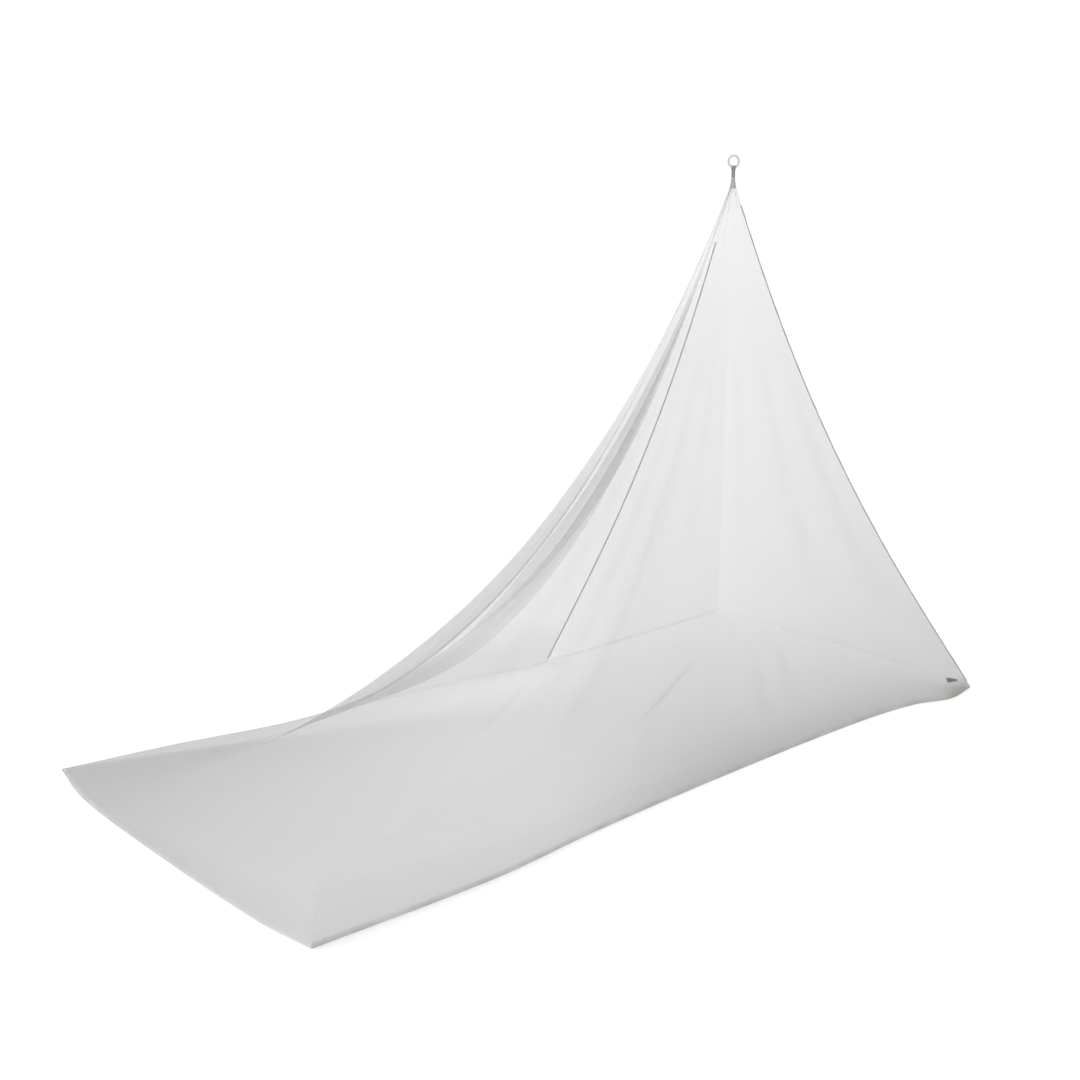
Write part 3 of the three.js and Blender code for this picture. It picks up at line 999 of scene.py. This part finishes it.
def add_solidify(piece: bpy.types.Object, thick: float, group: str = "", least: float = 0.0) -> None:
    """Gives a sheet its thickness, even on both sides of its mesh.

    Args:
        piece: The sheet.
        thick: Its thickness, in metres.
        group: The vertex group that has the whole thickness, if not all of it has.
        least: The share of the thickness elsewhere.
    """
    modifier = piece.modifiers.new("cloth thickness", "SOLIDIFY")
    modifier.thickness = thick
    modifier.offset = 0.0
    modifier.use_even_offset = False
    modifier.use_quality_normals = True
    if group:
        modifier.vertex_group = group
        modifier.thickness_vertex_group = least


def sheet_mesh(
    columns: int,
    rows: int,
    place_of: Callable[[int, int], Vector],
    map_of: Callable[[int, int], tuple[float, float]],
    crease_of: Callable[[int, int], float] | None = None,
) -> bmesh.types.BMesh:
    """A grid whose points are moved to their places, with a cloth map in metres.

    Args:
        columns: Number of columns of points.
        rows: Number of rows of points.
        place_of: The place of a point, by column and row, in metres.
        map_of: Its distances across and up the cloth, in metres.
        crease_of: How creased the cloth is there, from 0 to 1.

    Returns:
        The mesh, its faces pointing outwards where columns run anticlockwise round the net.
    """
    bm = bmesh.new()
    bmesh.ops.create_grid(bm, x_segments=columns - 1, y_segments=rows - 1, size=0.5)
    layer = bm.loops.layers.uv.new(UV_NAME)
    creased = bm.verts.layers.float.new(CREASE_NAME) if crease_of else None
    index: dict[bmesh.types.BMVert, tuple[int, int]] = {}
    for vert in bm.verts:
        i = round((vert.co.x + 0.5) * (columns - 1))
        j = round((vert.co.y + 0.5) * (rows - 1))
        index[vert] = (i, j)
    for face in bm.faces:
        for loop in face.loops:
            loop[layer].uv = map_of(*index[loop.vert])
    for vert, (i, j) in index.items():
        vert.co = place_of(i, j)
        if crease_of:
            vert[creased] = crease_of(i, j)
    return bm


@dataclass
class NetPanel:
    """One panel of netting, from its hem to the neck, with its doubled hem. Sizes are in mm.

    A row of points stands at the top of the hem and the next a little over it, so that the doubled cloth
    ends in a short step.
    """

    drape: Drape
    side: Side
    finish: NettingFinish
    columns: int
    rows: int = 118
    thick: float = 0.6
    hem_thick: float = 2.0
    hem_high: float = 12.0
    over_hem: float = 1.2
    hem_edge: float = 1.05
    solid_thick: float = 1.2
    # Both side edges stop this far from their seams.
    from_seam: float = 0.3
    row_spread: float = 1.25

    def build(self, with_pieces: Iterable[bpy.types.Object] = ()) -> bpy.types.Object:
        """Makes the panel and dresses it.

        Args:
            with_pieces: What is sewn to it; not used.

        Returns:
            The panel.
        """
        drape, side = self.drape, self.side
        length = drape.length_of(side)
        start = drape.starts[side]
        positions = [start + length * i / (self.columns - 1) for i in range(self.columns)]
        felt = [start - drape.feel, *positions, start + length + drape.feel]
        grid = ClothGrid(drape, felt, self._row_shares(positions))
        last = len(felt) - 1

        def place_of(i: int, j: int) -> Vector:
            """The middle of the solid's cloth, a little inside the seams.

            Args:
                i: The column.
                j: The row.

            Returns:
                The place, in metres.
            """
            inwards = (i == 0) - (i == self.columns - 1)
            place, normal = grid.places[i + 1][j], grid.normals[i + 1][j]
            after, before = grid.places[min(i + 2, last)][j], grid.places[i][j]
            along = (after - before).normalized()
            centre = place + along * (self.from_seam * inwards) + normal * (self.solid_thick / 2)
            centre.z = max(centre.z, 0.0)
            return centre * MM

        def map_of(i: int, j: int) -> tuple[float, float]:
            """Distance across from the panel's middle, which narrows to the neck, and up from the hem.

            Args:
                i: The column.
                j: The row.

            Returns:
                Both distances, in metres.
            """
            run = grid.runs[i + 1][j]
            share = run / grid.runs[i + 1][-1]
            across = (positions[i] - start - length / 2) * (1 - share)
            return across * MM, run * MM

        def crease_of(i: int, j: int) -> float:
            """How creased the panel is there."""
            return drape.crease_at(positions[i], grid.shares[i + 1][j])

        bm = sheet_mesh(self.columns, self.rows, place_of, map_of, crease_of)
        panel = into_object(bm, side.value.replace("panel", "netting"), self.finish.build())
        self._thicken(panel)
        install(panel, side.value)
        longest = max(column[-1] for column in grid.runs[1:-1]) * MM
        area = grid.area(1, self.columns) * MM * MM
        list(with_pieces)
        return panel

    def _row_shares(self, positions: Sequence[float]) -> list[float]:
        """Shares of a thread's run for the rows: three in the hem, then wider ones up the slope.

        Args:
            positions: The panel's threads.

        Returns:
            The shares, from 0 to 1.
        """
        middle = self.drape.thread(positions[len(positions) // 2])[-1].run
        hem = self.hem_high / middle
        above = hem * self.over_hem
        rest = self.rows - 3
        rising = [above + (1 - above) * (k / rest) ** self.row_spread for k in range(1, rest + 1)]
        return [0.0, hem, above, *rising]

    def _thicken(self, panel: bpy.types.Object) -> None:
        """Gives the netting its thickness, and the hem its doubled one.

        Args:
            panel: The panel.
        """
        cloth = panel.data.uv_layers[UV_NAME].data
        edge = self.hem_high * self.hem_edge * MM
        hem = {loop.vertex_index for loop in panel.data.loops if cloth[loop.index].uv.y < edge}
        panel.vertex_groups.new(name=THICKNESS_GROUP).add(sorted(hem), 1.0, "REPLACE")
        add_solidify(panel, self.hem_thick * MM, THICKNESS_GROUP, self.thick / self.hem_thick)


@dataclass
class SeamTape:
    """A narrow tape sewn over one seam, outside the cloth or inside it. Sizes are in mm."""

    drape: Drape
    side: Side
    name: str
    node: str
    finish: WovenFinish
    outside: bool
    half: float = 3.4
    thick: float = 0.8
    clear: float = 0.55
    solid_thick: float = 1.2
    rows: int = 150
    # Where the tape starts and ends, in shares of the cloth's run.
    foot: float = 0.012
    top: float = 0.9
    ripple: float = 0.35
    # Two waves of different length, in radians from row to row, make the ripples uneven.
    ripple_short: float = 0.9
    ripple_long: float = 0.23
    # Columns of points across the tape, in halves of its width.
    widths: tuple[float, ...] = (-1.0, -0.5, 0.0, 0.5, 1.0)

    def build(self) -> bpy.types.Object:
        """Makes the tape and its ripples.

        Returns:
            The tape.
        """
        start = self.drape.starts[self.side]
        long = self.top - self.foot
        shares = [self.foot + long * k / (self.rows - 1) for k in range(self.rows)]
        felt = [start - self.drape.feel, start, start + self.drape.feel]
        grid = ClothGrid(self.drape, felt, shares)
        middle_offset = self.clear + self.thick / 2
        offset = self.solid_thick + middle_offset if self.outside else -middle_offset

        def place_of(i: int, j: int) -> Vector:
            """The tape's middle surface, bent over the seam's ridge, with uneven ripples.

            Args:
                i: The column.
                j: The row.

            Returns:
                The place, in metres.
            """
            middle, ridge = grid.places[1][j], grid.normals[1][j]
            side = 2 if self.widths[i] > 0 else 0
            away = (grid.places[side][j] - middle).normalized()
            facing = (ridge - away * ridge.dot(away)).normalized()
            ripple = self.ripple * math.sin(j * self.ripple_short + i) * math.sin(j * self.ripple_long)
            lift = offset + ripple * (1 if self.outside else -1)
            if self.widths[i] == 0.0:
                return (middle + ridge * (lift / ridge.dot(facing))) * MM
            return (middle + away * (self.half * abs(self.widths[i])) + facing * lift) * MM

        def map_of(i: int, j: int) -> tuple[float, float]:
            """Distance across from the tape's middle, and along it."""
            return self.widths[i] * self.half * MM, grid.runs[1][j] * MM

        bm = sheet_mesh(len(self.widths), self.rows, place_of, map_of)
        tape = into_object(bm, self.name, self.finish.build())
        add_solidify(tape, self.thick * MM)
        return install(tape, self.node)


@dataclass
class CornerPatch:
    """The doubled corner of the near side: close cloth sewn over the net. Sizes are in mm."""

    drape: Drape
    finish: WovenFinish
    length: float = 186.0
    from_seam: float = 8.0
    high: float = 56.0
    clear: float = 0.8
    thick: float = 0.7
    solid_thick: float = 1.2
    hem_thick: float = 2.2
    hem_high: float = 12.0
    over_hem: float = 1.1
    off_floor: float = 0.07
    columns: int = 61
    rows: int = 22

    def build(self) -> bpy.types.Object:
        """Makes the patch over the net's hem and lowest stretch.

        Returns:
            The patch.
        """
        side = Side.NEAR
        end = self.drape.starts[side] + self.drape.length_of(side)
        first, last = end - self.length, end - self.from_seam
        step = (last - first) / (self.columns - 1)
        positions = [first + step * (i - 1) for i in range(self.columns + 2)]
        total = self.drape.thread(end)[-1].run
        shares = [self.high / total * j / (self.rows - 1) for j in range(self.rows)]
        grid = ClothGrid(self.drape, positions, shares)

        def place_of(i: int, j: int) -> Vector:
            """The patch's middle surface, just off the hem or the single cloth above it.

            Args:
                i: The column.
                j: The row.

            Returns:
                The place, in metres.
            """
            run = grid.runs[i + 1][j]
            under = self.hem_thick if run < self.hem_high * self.over_hem else self.solid_thick
            lift = under + self.clear + self.thick / 2
            place = grid.places[i + 1][j] + grid.normals[i + 1][j] * lift
            place.z = max(place.z, self.off_floor)
            return place * MM

        def map_of(i: int, j: int) -> tuple[float, float]:
            """Distance along from the patch's first edge, and up from the hem."""
            return (positions[i + 1] - first) * MM, grid.runs[i + 1][j] * MM

        bm = sheet_mesh(self.columns, self.rows, place_of, map_of)
        patch = into_object(bm, "corner_doubling", self.finish.build())
        add_solidify(patch, self.thick * MM)
        install(patch, "corner_patch")
        return patch


@dataclass
class CornerTab:
    """A small dark woven tab, wide at one end and drawn out at the other, with a soft edge."""

    finish: WovenFinish
    node: str = "corner_tab"
    edge_m: float = 0.0004
    edge_segments: int = 3
    flat_angle: float = 0.02
    sharp_angle: float = 1.0

    def build(self) -> bpy.types.Object:
        """Makes the tab from its solid's outline.

        Returns:
            The tab.
        """
        bm = bmesh.new()
        bm.from_mesh(bpy.data.objects[self.node].data)
        bmesh.ops.remove_doubles(bm, verts=bm.verts, dist=WELD_M)
        flat = [e for e in bm.edges if len(e.link_faces) == 2 and e.calc_face_angle() < self.flat_angle]
        bmesh.ops.dissolve_edges(bm, edges=flat, use_verts=False)
        sharp = [e for e in bm.edges if e.calc_face_angle(0.0) > self.sharp_angle]
        bmesh.ops.bevel(
            bm,
            geom=sharp,
            offset=self.edge_m,
            segments=self.edge_segments,
            profile=0.5,
            affect="EDGES",
            material=-1,
        )
        layer = bm.loops.layers.uv.new(UV_NAME)
        for face in bm.faces:
            for loop in face.loops:
                loop[layer].uv = (loop.vert.co.x, loop.vert.co.z)
        tab = into_object(bm, "woven_tab", self.finish.build())
        return install(tab, self.node)


@dataclass
class GatheredNeck:
    """The bunched tip of the panels: deep pleats drawn in towards the loop. Sizes are in mm."""

    neck: Vector
    finish: WovenFinish
    gap: float = 0.3
    high: float = 28.0
    bottom: float = 8.2
    top: float = 5.6
    pleats: int = 9
    pleat_depth: float = 0.16
    pleat_twist: float = 0.9
    flatter_at_top: float = 0.4
    # Pleats are bolder and fainter by this share, this many times round the neck, from this angle on.
    uneven: float = 0.25
    uneven_waves: int = 3
    uneven_from: float = 1.3
    # A thread ties the neck in a little below its top.
    tie_depth: float = 0.1
    tie_at: float = 0.72
    tie_high: float = 0.07
    levels: int = 28
    sides_per_pleat: int = 12

    def build(self) -> bpy.types.Object:
        """Makes the neck as a stack of pleated rings, closed at both ends.

        Returns:
            The neck.
        """
        bm = bmesh.new()
        bmesh.ops.create_circle(bm, segments=self.pleats * self.sides_per_pleat, radius=1.0)
        edges = bm.edges[:]
        for _ in range(self.levels):
            extruded = bmesh.ops.extrude_edge_only(bm, edges=edges)["geom"]
            verts = [g for g in extruded if isinstance(g, bmesh.types.BMVert)]
            edges = [g for g in extruded if isinstance(g, bmesh.types.BMEdge)]
            bmesh.ops.translate(bm, verts=verts, vec=(0.0, 0.0, 1.0))
        layer = bm.loops.layers.uv.new(UV_NAME)
        for vert in bm.verts:
            vert.co = self._place(math.atan2(vert.co.y, vert.co.x), vert.co.z / self.levels)
        ends = [e for e in bm.edges if e.is_boundary]
        bmesh.ops.holes_fill(bm, edges=ends, sides=0)
        bmesh.ops.recalc_face_normals(bm, faces=bm.faces)
        for face in bm.faces:
            for loop in face.loops:
                away = loop.vert.co - self.neck * MM
                loop[layer].uv = (away.z, math.atan2(away.y, away.x) * self.bottom * MM)
        neck = into_object(bm, "neck_bunch", self.finish.build())
        return install(neck, "gathered_neck")

    def _place(self, angle: float, share: float) -> Vector:
        """A point of the neck's surface.

        Args:
            angle: Its angle round the neck, in radians.
            share: Its share of the height.

        Returns:
            The point, in metres.
        """
        radius = self.bottom + (self.top - self.bottom) * smooth(share)
        turn = self.pleats * angle + self.pleat_twist * share
        ridge = abs(math.cos(turn / 2)) * 2 - 1
        uneven = self.uneven * math.sin(self.uneven_waves * angle + self.uneven_from)
        pleat = 1 + self.pleat_depth * ridge * (1 - self.flatter_at_top * share) * (1 + uneven)
        pinch = 1 - self.tie_depth * math.exp(-(((share - self.tie_at) / self.tie_high) ** 2))
        reach = radius * pleat * pinch
        x, y, z = self.neck
        height = z + self.gap + self.high * share
        return Vector((x + reach * math.cos(angle), y + reach * math.sin(angle), height)) * MM


@dataclass
class Hanger:
    """The dark webbing loop on the neck and the ring that it holds, turned together. Sizes are in mm."""

    neck: Vector
    webbing: WovenFinish
    plastic: MouldedFinish
    turn_deg: float = -22.0
    loop_wide: float = 11.0
    loop_columns: int = 7
    loop_ply: float = 1.3
    # The webbing is a little thinner than its ply, so that its two plies stay apart.
    shown_ply: float = 0.9
    loop_high: float = 31.0
    # The plies stand straight up to this many outer radii below the middle of the eye. The eye then turns
    # over the ring's wire, from one ply to the other.
    stem_top: float = 2.1
    stem_steps: int = 12
    eye_from_deg: float = 210.0
    eye_turn_deg: float = -240.0
    eye_steps: int = 40
    ring_mean: float = 16.8
    ring_wire: float = 3.2
    ring_sides: int = 24
    ring_steps: int = 96
    neck_high: float = 28.6
    gap: float = 0.3

    def __post_init__(self) -> None:
        """Works out the eye of the loop round the ring's wire."""
        rise = (self.loop_wide / 2) ** 2 / (2 * self.ring_mean)
        self.eye_radius = self.ring_wire + rise / 2 + self.gap
        self.loop_foot = self.neck.z + self.neck_high
        self.eye_height = self.loop_foot + self.loop_high
        self.ring_centre = self.eye_height - rise / 2 + self.ring_mean

    def _turned(self, point: Vector) -> Vector:
        """A point about the neck's upright, turned with the hanger, in metres."""
        turned = Matrix.Rotation(math.radians(self.turn_deg), 3, "Z") @ point
        return Vector((self.neck.x + turned.x, self.neck.y + turned.y, turned.z)) * MM

    def build_loop(self) -> bpy.types.Object:
        """Makes the webbing: two plies side by side that open round the ring's wire.

        Returns:
            The loop.
        """
        path = self._path()

        def width_at(i: int) -> float:
            """Distance of a column from the webbing's middle."""
            return (i / (self.loop_columns - 1) - 0.5) * self.loop_wide

        def place_of(i: int, j: int) -> Vector:
            """The middle of the webbing's thickness."""
            side, height, _ = path[j]
            return self._turned(Vector((width_at(i), side, height)))

        def map_of(i: int, j: int) -> tuple[float, float]:
            """Distance across from the webbing's middle, and along it."""
            return width_at(i) * MM, path[j][2] * MM

        bm = sheet_mesh(self.loop_columns, len(path), place_of, map_of)
        loop = into_object(bm, "webbing_loop", self.webbing.build())
        add_solidify(loop, self.loop_ply * self.shown_ply * MM)
        return install(loop, "hanging_loop")

    def _path(self) -> list[tuple[float, float, float]]:
        """The middle of the webbing's thickness, up one ply, round the eye and down the other.

        Returns:
            The side, height and run of each point, in mm.
        """
        radius = self.eye_radius + self.loop_ply / 2
        stem = self.loop_ply / 2
        low = self.eye_height - self.stem_top * (self.eye_radius + self.loop_ply)
        points: list[tuple[float, float]] = []
        for k in range(self.stem_steps + 1):
            height = self.loop_foot + self.gap + (low - self.loop_foot) * k / self.stem_steps
            points.append((-stem, height))
        for k in range(1, self.eye_steps + 1):
            angle = math.radians(self.eye_from_deg + self.eye_turn_deg * k / self.eye_steps)
            points.append((radius * math.cos(angle), self.eye_height + radius * math.sin(angle)))
        points.extend([(-side, height) for side, height in reversed(points[: self.stem_steps + 1])])
        run = 0.0
        path = [(*points[0], run)]
        for (x0, z0), (x1, z1) in zip(points, points[1:]):
            run += math.hypot(x1 - x0, z1 - z0)
            path.append((x1, z1, run))
        return path

    def build_ring(self) -> bpy.types.Object:
        """Makes the ring by spinning its round section.

        Returns:
            The ring.
        """
        bm = bmesh.new()
        upright = Matrix.Rotation(math.pi / 2, 3, "X")
        section = bmesh.ops.create_circle(bm, segments=self.ring_sides, radius=self.ring_wire * MM)["verts"]
        bmesh.ops.rotate(bm, verts=section, cent=(0, 0, 0), matrix=upright)
        bmesh.ops.translate(bm, verts=section, vec=(self.ring_mean * MM, 0, 0))
        bmesh.ops.spin(
            bm,
            geom=bm.edges[:] + bm.verts[:],
            cent=(0, 0, 0),
            axis=(0, 0, 1),
            angle=2 * math.pi,
            steps=self.ring_steps,
            use_merge=True,
        )
        bmesh.ops.remove_doubles(bm, verts=bm.verts, dist=WELD_M)
        for vert in bm.verts:
            vert.co = self._turned((upright @ vert.co) / MM + Vector((0, 0, self.ring_centre)))
        bmesh.ops.recalc_face_normals(bm, faces=bm.faces)
        ring = into_object(bm, "ring", self.plastic.build())
        return install(ring, "hang_ring")


# --------------------------------------------------------------------------- studio


@dataclass
class Studio:
    """A white floor and surround, soft light from above, and the camera."""

    camera_place: Vector
    yaw_deg: float = -41.28
    pitch_deg: float = 12.82
    lens_mm: float = 45.64
    sensor_mm: float = 36.0
    sees_to: float = 200.0
    # A ray passes up to this many faces of sheer cloth.
    layers_seen: int = 48
    floor_half: float = 50.0
    floor_drop: float = 0.0006
    light_from: tuple[float, float, float] = (-0.25, 0.05, 1.0)
    # What the light alone gives a pure white floor, where 1 is white.
    light_on_floor: float = 0.56
    light_spread_deg: float = 40.0
    # The walls turn into the ceiling between these rises of a direction, where 1 is straight up.
    wall_to_ceiling: tuple[float, float] = (0.3, 0.6)
    wall_strength: float = 1.07
    ceiling_strength: float = 0.48

    def build(self) -> None:
        """Makes the camera, the floor, the lights and the world, and lets rays pass many sheer layers."""
        self._camera()
        self._floor()
        self._lights()
        self._world()
        bpy.context.scene.view_settings.view_transform = "Standard"
        bpy.context.scene.cycles.transparent_max_bounces = self.layers_seen

    def _camera(self) -> None:
        """Places the camera."""
        data = bpy.data.cameras.new("camera")
        data.lens = self.lens_mm
        data.sensor_width = self.sensor_mm
        data.clip_end = self.sees_to
        camera = bpy.data.objects.new("camera", data)
        camera.location = self.camera_place
        camera.rotation_euler = (math.radians(90 - self.pitch_deg), 0.0, math.radians(self.yaw_deg))
        bpy.context.scene.collection.objects.link(camera)
        bpy.context.scene.camera = camera

    def _floor(self) -> None:
        """Lays a plain floor just under the hem. Its matt white paint gives the eye only soft shadows."""
        material, tree = new_material("matt white floor paint")
        paint = {"Base Color": linear("#f6f6f6"), "Roughness": 0.9, "Specular IOR Level": 0.1}
        add_node(tree, "OutputMaterial", {"Surface": add_node(tree, "BsdfPrincipled", paint)})
        bm = bmesh.new()
        bmesh.ops.create_grid(bm, x_segments=1, y_segments=1, size=self.floor_half)
        bmesh.ops.translate(bm, verts=bm.verts, vec=(0.0, 0.0, -self.floor_drop))
        into_object(bm, "floor", material)

    def _lights(self) -> None:
        """Hangs one broad soft light high over the net, a little towards its foot."""
        data = bpy.data.lights.new("high softbox", "SUN")
        data.angle = math.radians(self.light_spread_deg)
        data.energy = self.light_on_floor * math.pi / Vector(self.light_from).normalized().z
        light = bpy.data.objects.new("high softbox", data)
        light.rotation_euler = Vector(self.light_from).to_track_quat("Z", "Y").to_euler()
        bpy.context.scene.collection.objects.link(light)

    def _world(self) -> None:
        """Surrounds the scene with white walls and a dimmer ceiling."""
        world = bpy.data.worlds.new("white studio")
        world.use_nodes = True
        tree = world.node_tree
        tree.nodes.clear()
        place = add_node(tree, "TexCoord").outputs["Generated"]
        height = add_node(tree, "SeparateXYZ", [place]).outputs["Z"]
        rising = [height, *self.wall_to_ceiling, self.wall_strength, self.ceiling_strength]
        strength = add_node(tree, "MapRange", rising, **SOFT_STEP)
        white = {"Color": (1.0, 1.0, 1.0, 1.0), "Strength": strength}
        add_node(tree, "OutputWorld", {"Surface": add_node(tree, "Background", white)})
        bpy.context.scene.world = world


# --------------------------------------------------------------------------- the canopy

# Columns of points along each panel's hem, closer where it has narrower folds.
COLUMNS: dict[Side, int] = {
    Side.FOOT: 110,
    Side.NEAR: 190,
    Side.HEAD: 90,
    Side.FAR_HEAD: 76,
    Side.FAR_FOOT: 160,
}


@dataclass
class Canopy:
    """The whole net: neck and hanger first, then what is sewn on, then the five panels."""

    drape: Drape

    def build(self) -> None:
        """Makes every piece in order."""
        self._hanger()
        sewn_on = self._sewn_on()
        for side in Side:
            NetPanel(self.drape, side, NETTINGS[side], COLUMNS[side]).build(sewn_on.get(side, []))

    def _hanger(self) -> None:
        """Makes the neck, the loop and the ring."""
        neck = self.drape.neck
        # Netting in many layers, which let no light through: pale cloth with a fine grain.
        gathered = WovenFinish("gathered netting", "#bdbcbb", 0.0012, drawn_times=2)
        GatheredNeck(neck, gathered).build()
        # Woven polyester webbing: the darkest cloth at the neck, flat and matt, with faint cross ribs.
        webbing = WovenFinish("dark polyester webbing", "#979799", 0.0016, contrast=0.15)
        hanger = Hanger(neck, webbing, MouldedFinish("moulded acetal"))
        hanger.build_loop()
        hanger.build_ring()

    def _sewn_on(self) -> dict[Side, list[bpy.types.Object]]:
        """Makes the tapes, the patch and the tab.

        Returns:
            The pieces that are named with the panel that they are sewn to.
        """
        # Plain woven polyester tape: a narrow matt line down the seam, denser and paler than the net.
        pale = WovenFinish("pale grey binding tape", "#c0bfbf", 0.001, drawn_times=3)
        far_tape = SeamTape(
            self.drape, Side.FAR_FOOT, "far_seam_binding", "far_side_seam_tape", pale, outside=False
        )
        # The same tape, drawn a shade darker as painted shade: a soft grey edge outside the cloth.
        grey = WovenFinish("grey binding tape", "#aeadad", 0.001, drawn_times=3)
        head_tape = SeamTape(
            self.drape,
            Side.HEAD,
            "head_seam_binding",
            "head_corner_seam_tape",
            grey,
            outside=True,
            top=0.97,
        )
        made = {Side.FAR_FOOT: [far_tape.build()], Side.HEAD: [head_tape.build()]}
        # A second layer of netting: a greenish grey veil that fades into the net at its end and top.
        doubled = WovenFinish(
            "doubled netting", "#aeb0a2", 0.0012, drawn_times=3, cover=0.3, fade_m=(0.09, 0.05)
        )
        CornerPatch(self.drape, doubled).build()
        # Close woven polyester: a small dark matt spot at the corner.
        made[Side.NEAR] = [CornerTab(WovenFinish("dark woven tab", "#6a6a6d", 0.001)).build()]
        return made


def main() -> None:
    """Loads the frame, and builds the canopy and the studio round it."""
    logging.basicConfig(level=logging.INFO, format="%(name)s: %(message)s")
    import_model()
    Studio(Vector(CAMERA_M)).build()
    Canopy(Drape(Vector(NECK_MM))).build()


if __name__ == "__main__":
    main()
